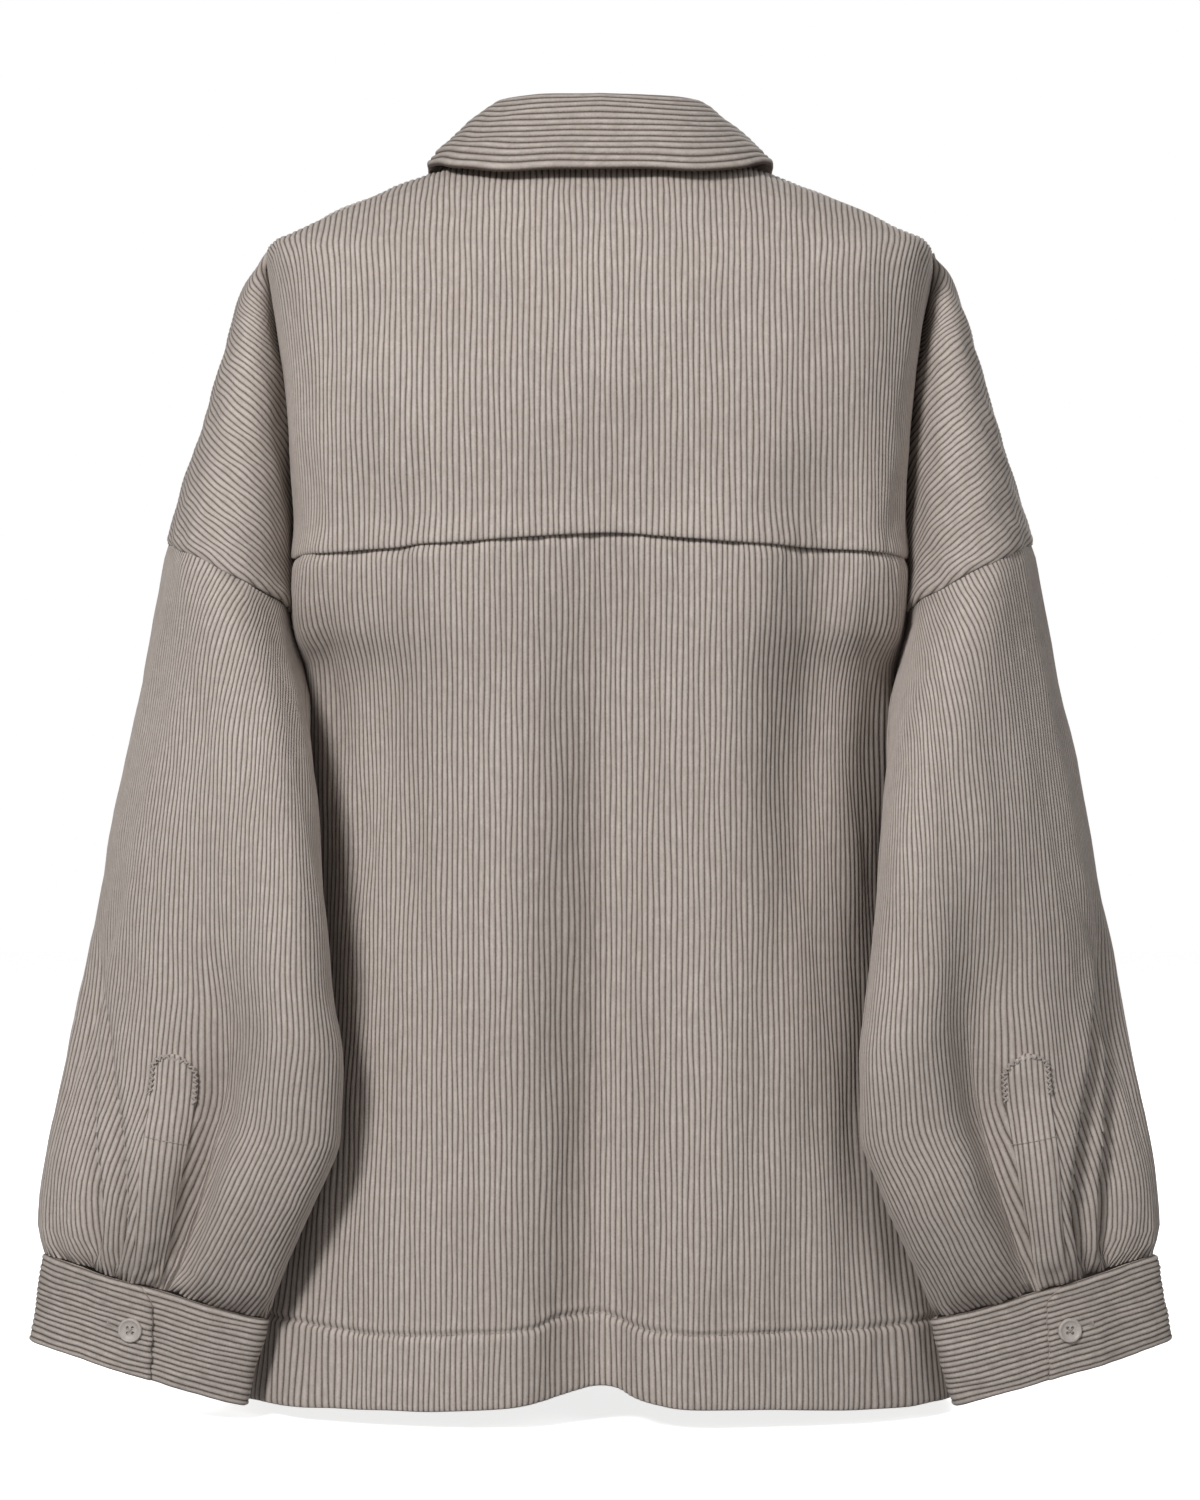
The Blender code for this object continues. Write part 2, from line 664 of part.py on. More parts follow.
def leaf_level(fall, rise, out):
    def level(angle):
        base, top, edge = neck_point(angle), fold_place(angle), edge_place(angle)
        upward = (top - base) / np.linalg.norm(top - base)
        away = edge - top
        away[2] = 0.0
        away /= np.linalg.norm(away)
        start = top + upward * (COLLAR_SEAM + rise)
        return start + (edge - start) * fall + away * out
    return level


def build_collar(cloth):
    stand = collar_rows([stand_level(share) for share in STAND_LEVELS][::-1])
    leaf = collar_rows([leaf_level(*step) for step in COLLAR_FALL])
    for name, grid in (("collar_stand", stand), ("collar_leaf", leaf)):
        rows, columns = grid.shape[:2]
        faces = grid_faces(rows, columns, True)
        points = grid.reshape(-1, 3) * MM
        slab(name, points, surface_normals(points, faces), faces, COLLAR_CLOTH, cloth)


def build_button(name, seat, outward, material):
    """A round button with a raised rim, standing on its seat along the outward way."""
    outward = outward / np.linalg.norm(outward)
    aside = np.cross(outward, [0.0, 0.0, 1.0])
    aside /= np.linalg.norm(aside)
    up = np.cross(outward, aside)
    profile = ((0.82, 0.0), (1.0, 0.35), (1.0, 0.75), (0.86, 1.0), (0.66, 0.72))
    points = [seat]
    for share, height in profile:
        for k in range(BUTTON_SIDES):
            turn = 2 * math.pi * k / BUTTON_SIDES
            flat = aside * math.cos(turn) + up * math.sin(turn)
            points.append(seat + flat * share * BUTTON_RADIUS + outward * height * BUTTON_THICK)
    points.append(seat + outward * profile[-1][1] * BUTTON_THICK)
    faces = []
    for k in range(BUTTON_SIDES):
        following = (k + 1) % BUTTON_SIDES
        faces.append((0, 1 + following, 1 + k))
        for ring in range(len(profile) - 1):
            a, b = 1 + ring * BUTTON_SIDES + k, 1 + ring * BUTTON_SIDES + following
            faces += [(a, b, b + BUTTON_SIDES), (a, b + BUTTON_SIDES, a + BUTTON_SIDES)]
        last = 1 + (len(profile) - 1) * BUTTON_SIDES
        faces.append((last + k, last + following, len(points) - 1))
    return make_object(name, points, faces, material)


def front_seat(height, lift):
    """A point on the placket's outer face at a height, and the way it faces."""
    rows = np.linspace(0, LAST_ROW, 400)
    middle = np.array([body_row(r, "front", 1)[0] for r in rows])
    at = np.argmin(np.abs(middle[:, 2] - height * MM))
    tangent = middle[at + 1] - middle[at - 1]
    outward = np.cross(tangent, [1.0, 0.0, 0.0])
    outward /= np.linalg.norm(outward)
    if outward[1] < 0:
        outward = -outward
    return middle[at] + outward * lift, outward


def cuff_seat(side, centre, outward):
    """A point on the cuff's tab where its button sits, and the way it faces."""
    columns = CUFF_COLUMNS + 1
    row = centre[columns:2 * columns]
    ways = outward[columns:2 * columns]
    near = row[:CUFF_COLUMNS // 3]
    order = np.argsort(np.abs(near[:, 0]))
    x = CUFF_BUTTON_X * MM
    place = np.array([np.interp(x, np.abs(near[order, 0]), near[order, k]) for k in range(3)])
    way = np.array([np.interp(x, np.abs(near[order, 0]), ways[:len(near)][order, k])
                    for k in range(3)])
    place[0] = side * x
    lift = BAND_CLOTH / 2 + BUTTON_SEAT
    return place + way / np.linalg.norm(way) * lift, way


def main():
    for old in list(bpy.data.objects):
        bpy.data.objects.remove(old, do_unlink=True)
    cloth = make_material("corduroy", (0.37, 0.32, 0.29), 0.92)
    shell = make_material("button_shell", (0.38, 0.33, 0.30), 0.45)

    garment = Garment()
    add_body(garment)
    add_sleeves(garment)
    strip = front_placket_faces(garment)
    sleeve_strips = {side: sleeve_placket_faces(garment, side) for side in (-1, 1)}
    points = np.array(garment.points)
    normals = garment.normals()
    for panel, faces in garment.panels.items():
        thick = {number: amount for (name, number), amount in garment.thick.items() if name == panel}
        wall(panel, points, normals, faces, thick, 0.0, SEAM_GAP / 2, cloth)

    at_neck = points[:, 2] > PLACKET_THIN_ABOVE
    strip_thick = np.where(at_neck, STRIP_CLOTH / 3, STRIP_CLOTH)
    strip_lift = (SEAM_GAP + strip_thick)[:, None]
    wall("front_placket", points, normals, strip, strip_thick, strip_lift, SEAM_GAP / 2, cloth)
    for side, name in ((-1, "sleeve_placket_left"), (1, "sleeve_placket_right")):
        wall(name, points, normals, sleeve_strips[side], strip_thick, strip_lift,
             SEAM_GAP / 2, cloth)

    build_collar(cloth)
    for side, name in ((-1, "left"), (1, "right")):
        made, centre, outward = build_cuff("cuff_" + name, side, cloth)
        seat, way = cuff_seat(side, centre, outward)
        build_button("cuff_button_" + name, seat, way, shell)
    lift = SEAM_GAP + STRIP_CLOTH + BUTTON_SEAT
    for number, height in enumerate(FRONT_BUTTON_HEIGHTS, 1):
        seat, way = front_seat(height, lift)
        build_button(f"front_button_{number}", seat, way, shell)


main()
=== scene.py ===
# %% [markdown]
# # A corduroy overshirt with nobody in it
#
# The garment hangs in the air as if a wearer filled it, and the camera looks at its back.
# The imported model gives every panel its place. This script makes each panel again as
# real cloth: a thin shell whose outer face carries the ribs of the corduroy.

# %% Load the frame
import math

import bpy
import numpy as np
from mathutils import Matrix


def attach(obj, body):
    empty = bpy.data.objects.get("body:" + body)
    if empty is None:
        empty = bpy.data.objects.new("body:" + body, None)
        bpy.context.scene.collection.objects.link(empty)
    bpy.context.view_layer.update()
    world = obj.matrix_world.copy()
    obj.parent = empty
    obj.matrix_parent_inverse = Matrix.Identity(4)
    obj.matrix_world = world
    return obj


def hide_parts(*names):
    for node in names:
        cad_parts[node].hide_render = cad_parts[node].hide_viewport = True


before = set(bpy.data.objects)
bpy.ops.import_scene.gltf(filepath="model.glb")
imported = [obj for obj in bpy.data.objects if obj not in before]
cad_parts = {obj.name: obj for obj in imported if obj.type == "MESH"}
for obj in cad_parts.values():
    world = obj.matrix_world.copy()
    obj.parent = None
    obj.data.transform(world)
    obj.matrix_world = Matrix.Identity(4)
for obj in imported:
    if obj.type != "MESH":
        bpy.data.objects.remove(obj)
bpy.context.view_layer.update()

MM = 0.001

# %% [markdown]
# ## Sizes as short tables
#
# A pattern cutter knows a garment by its measurements at a few levels. The same is done
# here: a table holds the sizes at some levels, and a smooth curve fills in between them.

# %% Read sizes from tables


class Table:
    """Named columns of sizes, the first of them the key, read as smooth curves."""

    def __init__(self, columns, rows):
        self.columns = columns.split()
        self.values = np.array(rows, float)

    def read(self, column, key):
        keys = self.values[:, 0]
        sizes = self.values[:, self.columns.index(column)]
        return smooth_curve(keys, sizes, key)

    def sizes(self, key):
        return {name: self.read(name, key) for name in self.columns[1:]}


def smooth_curve(keys, sizes, at):
    """A cubic through the sizes that never overshoots them."""
    steps = np.diff(keys)
    slopes = np.diff(sizes) / steps
    before, after = slopes[:-1], slopes[1:]
    same_way = before * after > 0
    total = np.where(same_way, before + after, 1.0)
    inner = np.where(same_way, 2 * before * after / total, 0.0)
    tangents = np.concatenate([slopes[:1], inner, slopes[-1:]])
    cell = np.clip(np.searchsorted(keys, at, side="right") - 1, 0, len(steps) - 1)
    t = np.clip((at - keys[cell]) / steps[cell], 0.0, 1.0)
    rise = sizes[cell + 1] - sizes[cell]
    return (sizes[cell] + rise * t * t * (3 - 2 * t)
            + steps[cell] * t * (1 - t) * ((1 - t) * tangents[cell] - t * tangents[cell + 1]))


def bump(distance, width):
    return np.exp(-(distance / width) ** 2 / 2)


def ease(value):
    """0 below 0, 1 above 1, and a smooth way between them."""
    value = np.clip(value, 0.0, 1.0)
    return value * value * (3 - 2 * value)


def travelled(points):
    """How far each point lies along a path."""
    steps = np.linalg.norm(np.diff(points, axis=0), axis=1)
    return np.concatenate([[0.0], np.cumsum(steps)])


def travelled_across(grid):
    """How far each point of a grid lies along its own row."""
    steps = np.linalg.norm(np.diff(grid, axis=1), axis=2).cumsum(axis=1)
    return np.concatenate([0 * steps[:, :1], steps], axis=1)


def along(path, measure, places):
    """The points of a path at some places, where measure says how far its own points lie."""
    return np.stack([np.interp(places, measure, path[:, axis]) for axis in range(3)], axis=-1)


def add_object(name, data):
    """An object in the scene that shows this mesh, light or camera."""
    made = bpy.data.objects.new(name, data)
    bpy.context.scene.collection.objects.link(made)
    return made


# %% The body's sizes
BODY = Table("row back_z front_z side_z side_x side_y back_deep front_deep back_square"
             " front_square groove", [
    (0, 4, -68, 17, 76, -4, 66, 62, 2.1, 2.1, 0),
    (1, -11, -83, 7, 106, -4, 82, 70, 2.2, 2.2, 0),
    (2, -28, -97, -9, 146, -4, 96, 79, 2.4, 2.4, 0),
    (3, -49, -114, -27, 183, -4, 106, 88, 2.7, 2.6, 0),
    (4, -72, -131, -43, 206, -4, 113, 95, 3.1, 2.8, 0),
    (5, -98, -149, -88, 198.5, -4, 117, 99, 3.4, 3.0, 16),
    (6, -134, -173, -131, 193, -3, 120, 103, 3.7, 3.2, 26),
    (7, -175, -203, -178, 189, -2, 121, 107, 3.9, 3.3, 30),
    (8, -222, -236, -232, 185.5, -1, 121, 110, 3.9, 3.3, 26),
    (9, -250, -258, -258, 184, 0, 121, 111, 3.7, 3.2, 15),
    (10, -275, -277, -278, 181, 0, 121, 111, 3.2, 3.0, 0),
    (11, -295, -295, -296, 177, 20, 121, 111, 2.8, 2.9, 0),
    (12, -318, -318, -318, 178, 34, 121, 111, 2.55, 2.8, 0),
    (13, -364, -364, -364, 179.5, 42, 121, 112, 2.45, 2.7, 0),
    (14, -412, -412, -412, 181, 42, 122, 113, 2.45, 2.6, 0),
    (15, -470, -470, -470, 182.5, 38, 123, 114, 2.5, 2.5, 0),
    (16, -528, -530, -530, 186, 32, 124, 115, 2.5, 2.5, 0),
    (17, -587, -590, -591, 195, 24, 125, 116, 2.4, 2.4, 0),
    (18, -646, -650, -651, 207, 15, 126, 117, 2.4, 2.4, 0),
    (19, -697, -702, -703, 216, 8, 127, 118, 2.4, 2.4, 0),
    (20, -743, -748, -749, 222, 4, 128, 119, 2.4, 2.4, 0),
])
BACK_FOLDS = Table("z trough_x trough_left trough_right trough drag", [
    (-760, 0, 24, 18, 15, 0),
    (-702, 0, 24, 20, 16, 0),
    (-560, 4, 24, 24, 17, 0),
    (-400, 5, 24, 28, 15, 4),
    (-330, 5, 25, 30, 12, 6),
    (-260, 4, 27, 30, 7, 6),
    (-215, 3, 34, 30, 3, 5),
    (-130, 3, 34, 30, 0, 0),
])
FRONT_FOLDS = Table("z fold_x fold_wide fold", [
    (-760, 96, 26, 15),
    (-560, 100, 28, 11),
    (-400, 106, 32, 6),
    (-240, 112, 34, 0),
])
BOW = {"back": 1.5, "front": 1.8}
DRAG_X, DRAG_WIDE, DRAG_SLANT, DRAG_TOP_Z = 132.0, 19.0, 0.06, -260
DRAG_DEEPER, BACK_DEEPER = 3.0, 2.2
FOLD_LIFT, SIDE_FADE = 0.3, 8
WIDEST_ROW, YOKE_ROW, LAST_ROW = 5.0, 8, 20
print("body table:", len(BODY.values), "levels from", BODY.values[0, 1], "to", BODY.values[-1, 1])

# %% [markdown]
# ## One level of the body
#
# Seen from above, a worn shirt is a rounded rectangle. A power between a circle's and a
# square's gives that, and the soft folds are pushed in afterwards, so that they stay
# where they are named.

# %% Curves of the body


def body_curve(row, face, samples=700):
    """One level of the body, from its middle to its side."""
    away = -1 if face == "back" else 1
    side_x, side_y = BODY.read("side_x", row), BODY.read("side_y", row)
    deep = BODY.read(face + "_deep", row) - away * side_y
    square = BODY.read(face + "_square", row)
    groove = BODY.read("groove", row)
    middle_z, side_z = BODY.read(face + "_z", row), BODY.read("side_z", row)
    half_width = side_x / (1 - (groove / deep) ** square) ** (1 / square)
    last = math.asin(min(1.0, side_x / half_width) ** (square / 2))
    angle = np.linspace(0.0, last, samples)
    x = half_width * np.sin(angle) ** (2 / square)
    y = deep * np.clip(np.cos(angle), 0, 1) ** (2 / square)
    y[-1], x[-1] = groove, side_x
    z = middle_z + (side_z - middle_z) * (x / side_x) ** BOW[face]
    return np.stack([x, side_y + away * y, z], axis=1)


def fold_body(points, face, side):
    """Push the body's folds in, towards the wearer, and lift the cloth in them."""
    x, z = points[:, 0] * side, points[:, 2]
    fade = 1 - (points[:, 0] / points[-1, 0]) ** SIDE_FADE
    if face == "back":
        centre = BACK_FOLDS.read("trough_x", z)
        wide = np.where(x < centre, BACK_FOLDS.read("trough_left", z),
                        BACK_FOLDS.read("trough_right", z))
        trough = BACK_DEEPER * BACK_FOLDS.read("trough", z) * bump(x - centre, wide) * fade
        drag = DRAG_DEEPER * BACK_FOLDS.read("drag", z)
        drag = drag * bump(np.abs(x) - DRAG_X - DRAG_SLANT * (z - DRAG_TOP_Z), DRAG_WIDE) * fade
    else:
        away = np.abs(x) - FRONT_FOLDS.read("fold_x", z)
        trough = FRONT_FOLDS.read("fold", z) * bump(away, FRONT_FOLDS.read("fold_wide", z)) * fade
        drag = 0.0
    folded = points.copy()
    folded[:, 1] += (trough + drag) * (1 if face == "back" else -1)
    folded[:, 2] += FOLD_LIFT * trough
    return folded


# %% [markdown]
# ## A surface that can be asked anywhere
#
# Cloth is cut on straight grain, so the ribs don't follow the levels of the table. The
# levels are kept in one array, and any point of the cloth is looked up by its level and
# by how far across the cloth it lies.

# %% Surfaces made of levels


class Surface:
    """Curves at many levels, each measured across the cloth, looked up between them."""

    def __init__(self, levels, curves, measures, samples=420):
        self.levels = np.asarray(levels, float)
        self.widths = np.array([measure[-1] for measure in measures])
        shares = np.linspace(0, 1, samples)
        self.samples = samples
        self.points = np.empty((len(levels), samples, 3))
        for i, (curve, measure) in enumerate(zip(curves, measures)):
            self.points[i] = along(curve, measure, shares * measure[-1])

    def width(self, level):
        return np.interp(level, self.levels, self.widths)

    def at(self, level, across):
        level, across = np.broadcast_arrays(np.asarray(level, float), np.asarray(across, float))
        share = np.clip(across / self.width(level), 0, 1) * (self.samples - 1)
        place = np.interp(level, self.levels, np.arange(len(self.levels)))
        i = np.clip(place.astype(int), 0, len(self.levels) - 2)
        j = np.clip(share.astype(int), 0, self.samples - 2)
        a, b = (place - i)[..., None], (share - j)[..., None]
        p = self.points
        return ((p[i, j] * (1 - b) + p[i, j + 1] * b) * (1 - a)
                + (p[i + 1, j] * (1 - b) + p[i + 1, j + 1] * b) * a)


STRAIGHT_ABOVE, ROUND_BELOW = 3.6, 5.0


def body_surface(face, side):
    """Half of the back or of the front. Near the shoulder seam the grain hangs plumb."""
    levels = np.arange(0, LAST_ROW + 0.01, 0.05)
    curves, measures = [], []
    for level in levels:
        curve = body_curve(level, face)
        length = travelled(curve)
        mix = ease((level - STRAIGHT_ABOVE) / (ROUND_BELOW - STRAIGHT_ABOVE))
        measures.append(curve[:, 0] + (length - curve[:, 0]) * mix)
        folded = fold_body(curve, face, side)
        folded[:, 0] *= side
        curves.append(folded)
    return Surface(levels, curves, measures)


FACES, SIDES = ("back", "front"), (-1, 1)
bodies = {(face, side): body_surface(face, side) for face in FACES for side in SIDES}
print("half back width at the hem:", round(float(bodies["back", 1].width(LAST_ROW)), 1), "mm")

# %% [markdown]
# ## The shoulder part and the sleeve
#
# The armhole lies low on the upper arm, so the yoke and the fronts run on over the
# shoulder. That part and the sleeve are rings that lean the way the arm hangs.

# %% The arm's sizes
SHOULDER = Table("row tip_z tip_x deep open", [
    (4, -43, 206, 6, 0),
    (4.5, -58, 217, 25, 0.5),
    (5, -78, 225, 42, 1),
    (6, -113, 235, 60, 2),
    (7, -148, 245, 76, 2.6),
    (8, -183, 256, 88, 2.6),
    (9, -206, 263, 94, 2.6),
    (10, -224, 268, 97, 2.6),
])
SHOULDER_SLOPE, ARM_SQUARE, GROOVE_SHARPNESS = 0.45, 2.2, 6
SLEEVE = Table("ring z outer_x inner_x centre_y deep lean slope dip open", [
    (0, -243.575, 268, 181, 0, 97, 0, 0.45, 14.85, 2.6),
    (0.5, -270, 273, 178.5, -12, 95, 16, 0.44, 9, 1.5),
    (1, -300, 278.5, 173, -23, 91, 30, 0.42, 4, 0),
    (2, -350, 288, 167, -43, 82, 44, 0.38, 0, 0),
    (3, -412, 299.5, 163.5, -60, 73, 47, 0.34, 0, 0),
    (4, -465, 309, 160, -68, 66, 47, 0.32, 0, 0),
    (5, -512, 317.5, 155, -73, 59, 45, 0.30, 0, 0),
    (6, -556, 325.5, 155, -77, 50, 38, 0.28, 0, 0),
    (7, -596, 332.5, 169, -77, 46, 32, 0.27, 0, 0),
    (8, -634, 339, 186, -73, 40, 25, 0.27, 0, 0),
    (9, -660, 341, 196, -70, 30, 18, 0.27, 0, 0),
    (10, -676, 338, 202, -68, 17, 11, 0.27, 0, 0),
])
SLEEVE_FOLDS = Table("ring pleat_a_x pleat_b_x strip_outer_x strip_inner_x trough_x"
                     " pleat_a pleat_b trough trough_wide", [
    (0, 253, 245, 240, 234, 230, 0, 0, 0, 24),
    (3, 284, 272, 260, 238, 230, 0, 0, 4, 22),
    (4, 305, 292, 263, 239, 229, 2, 1, 7, 20),
    (5, 314, 306, 264, 239, 229, 5, 4, 12, 17),
    (6, 315, 298, 268, 242, 234, 8, 7, 17, 14),
    (7, 311, 290, 273, 249, 243, 9, 9, 19, 11),
    (8, 306, 286, 277, 257, 252, 8, 9, 17, 10),
    (9, 305, 289, 280, 262, 258, 5, 6, 11, 9),
    (10, 308, 294, 283, 266, 262, 1.5, 1.5, 2, 8),
])
PLEAT_RUN, PLEAT_STEEP = 14.0, 2.8
PLEAT_DEEPER, TROUGH_DEEPER = 1.8, 1.55
CRISPER, CRISP_FROM_RING, CRISP_OVER_RINGS = 0.55, 5, 2
SLEEVE_RINGS = 10
print("sleeve table:", len(SLEEVE.values), "rings")

# %% Rings around the arm


def ring_curve(sizes, start, end, samples=900):
    """A leaning, squared ring read from a table row, between two angles in degrees."""
    half = (sizes["outer_x"] - sizes["inner_x"]) / 2
    centre_x = (sizes["outer_x"] + sizes["inner_x"]) / 2
    angle = np.radians(np.linspace(start, end, samples))
    power = 2 / ARM_SQUARE
    across = np.sign(np.cos(angle)) * np.abs(np.cos(angle)) ** power
    around = np.sign(np.sin(angle)) * np.abs(np.sin(angle)) ** power
    deepness = np.clip((1 - np.abs(around)) / (1 - sizes.get("groove_share", 0.0)), 0, 1)
    deepness = np.where(across < 0, deepness, 0.0)
    x = centre_x + half * across
    x = x + sizes["open"] * (1 - deepness ** GROOVE_SHARPNESS) * np.maximum(-across, 0)
    y = sizes["centre_y"] + sizes["lean"] * across - sizes["deep"] * around
    z = sizes["z"] + sizes["slope"] * half * across - sizes["dip"] * deepness ** 2
    return np.stack([x, y, z], axis=1)


def shoulder_curve(row, face):
    """The shoulder part from the top of the arm to the groove at the armhole."""
    body = BODY.sizes(row)
    tip = SHOULDER.sizes(row)
    share = body["groove"] / tip["deep"]
    reach = (1 - share ** ARM_SQUARE) ** (1 / ARM_SQUARE)
    half = (tip["tip_x"] - body["side_x"]) / (1 + reach)
    last = 180 - math.degrees(math.asin(share ** (ARM_SQUARE / 2)))
    away = 1 if face == "back" else -1
    dip = tip["tip_z"] - SHOULDER_SLOPE * (tip["tip_x"] - body["side_x"]) - body["side_z"]
    sizes = {"outer_x": tip["tip_x"], "inner_x": tip["tip_x"] - 2 * half,
             "centre_y": body["side_y"], "deep": away * tip["deep"], "lean": 0.0,
             "z": tip["tip_z"] - SHOULDER_SLOPE * half, "slope": SHOULDER_SLOPE, "dip": dip,
             "open": tip["open"], "groove_share": share}
    return ring_curve(sizes, 0, last)


def fold_sleeve(curve, ring):
    """Push the sleeve's trough and its two pleats in, on the side that faces back."""
    tangent = np.gradient(curve[:, :2], axis=0)
    tangent /= np.linalg.norm(tangent, axis=1)[:, None]
    inward = np.stack([tangent[:, 1], -tangent[:, 0]], axis=1)
    x = curve[:, 0]
    facing_back = np.clip(inward[:, 1] * 3, 0, 1)
    push = TROUGH_DEEPER * SLEEVE_FOLDS.read("trough", ring) * bump(
        x - SLEEVE_FOLDS.read("trough_x", ring), SLEEVE_FOLDS.read("trough_wide", ring))
    for pleat in ("pleat_a", "pleat_b"):
        past = x - SLEEVE_FOLDS.read(pleat + "_x", ring)
        run = np.exp(-np.maximum(past, 0) / PLEAT_RUN)
        steep = PLEAT_STEEP * (1 - CRISPER * ease((ring - CRISP_FROM_RING) / CRISP_OVER_RINGS))
        deep = PLEAT_DEEPER * SLEEVE_FOLDS.read(pleat, ring)
        push = push + deep * np.where(past > 0, run, bump(past, steep))
    folded = curve.copy()
    folded[:, :2] += inward * (push * facing_back)[:, None]
    return folded


# %% [markdown]
# ## Where the ribs go when a sleeve is pleated
#
# Towards the cuff the ring gets shorter, but the cloth doesn't. What is too much is
# folded away in the pleats, so ribs vanish into each pleat's edge and keep their
# distance everywhere else. The measure across the cloth takes a jump at each pleat.

# %% Surfaces of the arm
PLEAT_SHARES = {"pleat_a": 0.34, "pleat_b": 0.34, "trough": 0.32}
PLEAT_JUMP = 3.0
SHOULDER_TOP_ROW, SHOULDER_LAST_ROW = 4, 10


def shoulder_surface(face, side):
    levels = np.arange(SHOULDER_TOP_ROW, SHOULDER_LAST_ROW + 0.01, 0.04)
    curves = [shoulder_curve(level, face) for level in levels]
    measures = [travelled(curve) for curve in curves]
    for curve in curves:
        curve[:, 0] *= side
    return Surface(levels, curves, measures)


def sleeve_surface(side, start, end):
    """Half a sleeve: 0 to 180 degrees by the back, or 360 to 180 by the front."""
    levels = np.arange(0, SLEEVE_RINGS + 0.01, 0.05)
    curves, measures = [], []
    longest = 0.0
    for level in levels:
        curve = ring_curve(SLEEVE.sizes(level), start, end)
        plain = travelled(curve)
        length = plain
        longest = max(longest, plain[-1])
        spare = longest - plain[-1]
        if end > start:
            for fold, share in PLEAT_SHARES.items():
                at = np.argmin(np.abs(curve[:, 0] - SLEEVE_FOLDS.read(fold + "_x", level)))
                length = length + spare * share * ease((plain - plain[at]) / PLEAT_JUMP + 0.5)
            curve = fold_sleeve(curve, level)
        curve = curve.copy()
        curve[:, 0] *= side
        curves.append(curve)
        measures.append(length)
    return Surface(levels, curves, measures, samples=700)


shoulders = {(face, side): shoulder_surface(face, side) for face in FACES for side in SIDES}
sleeves = {("back", side): sleeve_surface(side, 0, 180) for side in SIDES}
sleeves.update({("front", side): sleeve_surface(side, 360, 180) for side in SIDES})
around = sum(float(sleeves[face, 1].width(SLEEVE_RINGS / 2)) for face in FACES)
print("cloth around the sleeve:", round(around), "mm")

# %% [markdown]
# ## The ribs
#
# Corduroy has round ribs of pile with narrow furrows between them. Here each rib is real
# relief: a column of points for its furrow, its two flanks and its crown. The rib's
# number is also kept as the piece's own UV map, so that the material can paint shade into
# the furrows and a highlight onto the crowns of exactly these ribs.

# %% Rib relief and small unevenness
YOKE_RIB, PANEL_RIB, BAND_RIB = 3.5, 3.3, 3.3
RIB_RISE = 0.75
RIB_ROUND = 0.54

# How high the waves are and how wide, in mm, their seed, and their stretch along x, y and z.
WAVES = {
    "drift_x": (0.70, 46, 7, (0.6, 1, 2.2)),
    "drift_z": (0.65, 40, 9, (2.2, 1, 0.6)),
    "yoke": (1.1, 75, 3, (1, 1, 1)),
    "yoke_edge": (0.5, 17, 5, (1, 1, 3)),
    "shoulder": (0.9, 55, 21, (1, 1, 1)),
    "back": (1.3, 95, 31, (1, 1, 2)),
    "back_hem": (0.35, 15, 32, (1, 1, 4)),
    "back_top": (0.7, 20, 8, (1, 1, 3)),
    "front": (1.3, 95, 45, (1, 1, 2)),
    "front_hem": (0.35, 15, 46, (1, 1, 4)),
    "sleeve": (1.5, 80, 61, (1, 1, 2.2)),
    "gathers": (1.3, 17, 71, (1, 1, 5)),
    "cuff": (1.1, 38, 81, (1.5, 1, 1)),
    "collar": (0.9, 50, 91, (3, 3, 1)),
}


def rib_height(ribs):
    """0 in a furrow, 1 on a crown, for a place counted in ribs."""
    return np.abs(np.sin(np.pi * ribs)) ** RIB_ROUND


def waves(points, kind, side=0):
    """Soft irregular waves of a named kind. The two sides of the garment get their own."""
    high, size, seed, stretch = WAVES[kind]
    chance = np.random.default_rng(seed + side)
    total = np.zeros(points.shape[:-1])
    for _ in range(9):
        way = chance.normal(size=3) / np.array(stretch)
        way *= 2 * np.pi / (size * chance.uniform(0.7, 1.5))
        total += np.sin(points @ way + chance.uniform(0, 2 * np.pi))
    return high * (total / 4.5)


def wander(points):
    """Ribs are never ruled lines. All pieces share one drift, so that seams stay closed."""
    moved = points.copy()
    moved[..., 0] += waves(points, "drift_x")
    moved[..., 2] += waves(points, "drift_z")
    return moved


print("rib heights:", np.round(rib_height(np.array([0, 0.25, 0.5, 0.75])), 2))

# %% [markdown]
# ## A cloth shell
#
# A panel is a closed wall: an outer face with the ribs, an inner face behind it, and a rim
# all round. The inner face has no ribs and gives way only where the outer one sinks. It
# needs far fewer points, so one rim face joins several outer points to one inner step.

# %% Build a shell from a grid of points
CLOTH = 1.8
SHARP_EDGE = 82
RIB_GAP = 8


def outward_normals(points, middle):
    """Directions square to a grid of points, away from a middle line."""
    across = np.gradient(points, axis=1)
    down = np.gradient(points, axis=0)
    normals = np.cross(across, down)
    size = np.linalg.norm(normals, axis=2, keepdims=True)
    normals = normals / np.maximum(size, 1e-9)
    dots = ((points - middle) * normals).sum(axis=2)
    sign = 1.0 if np.median(dots) > 0 else -1.0
    return normals * sign, sign


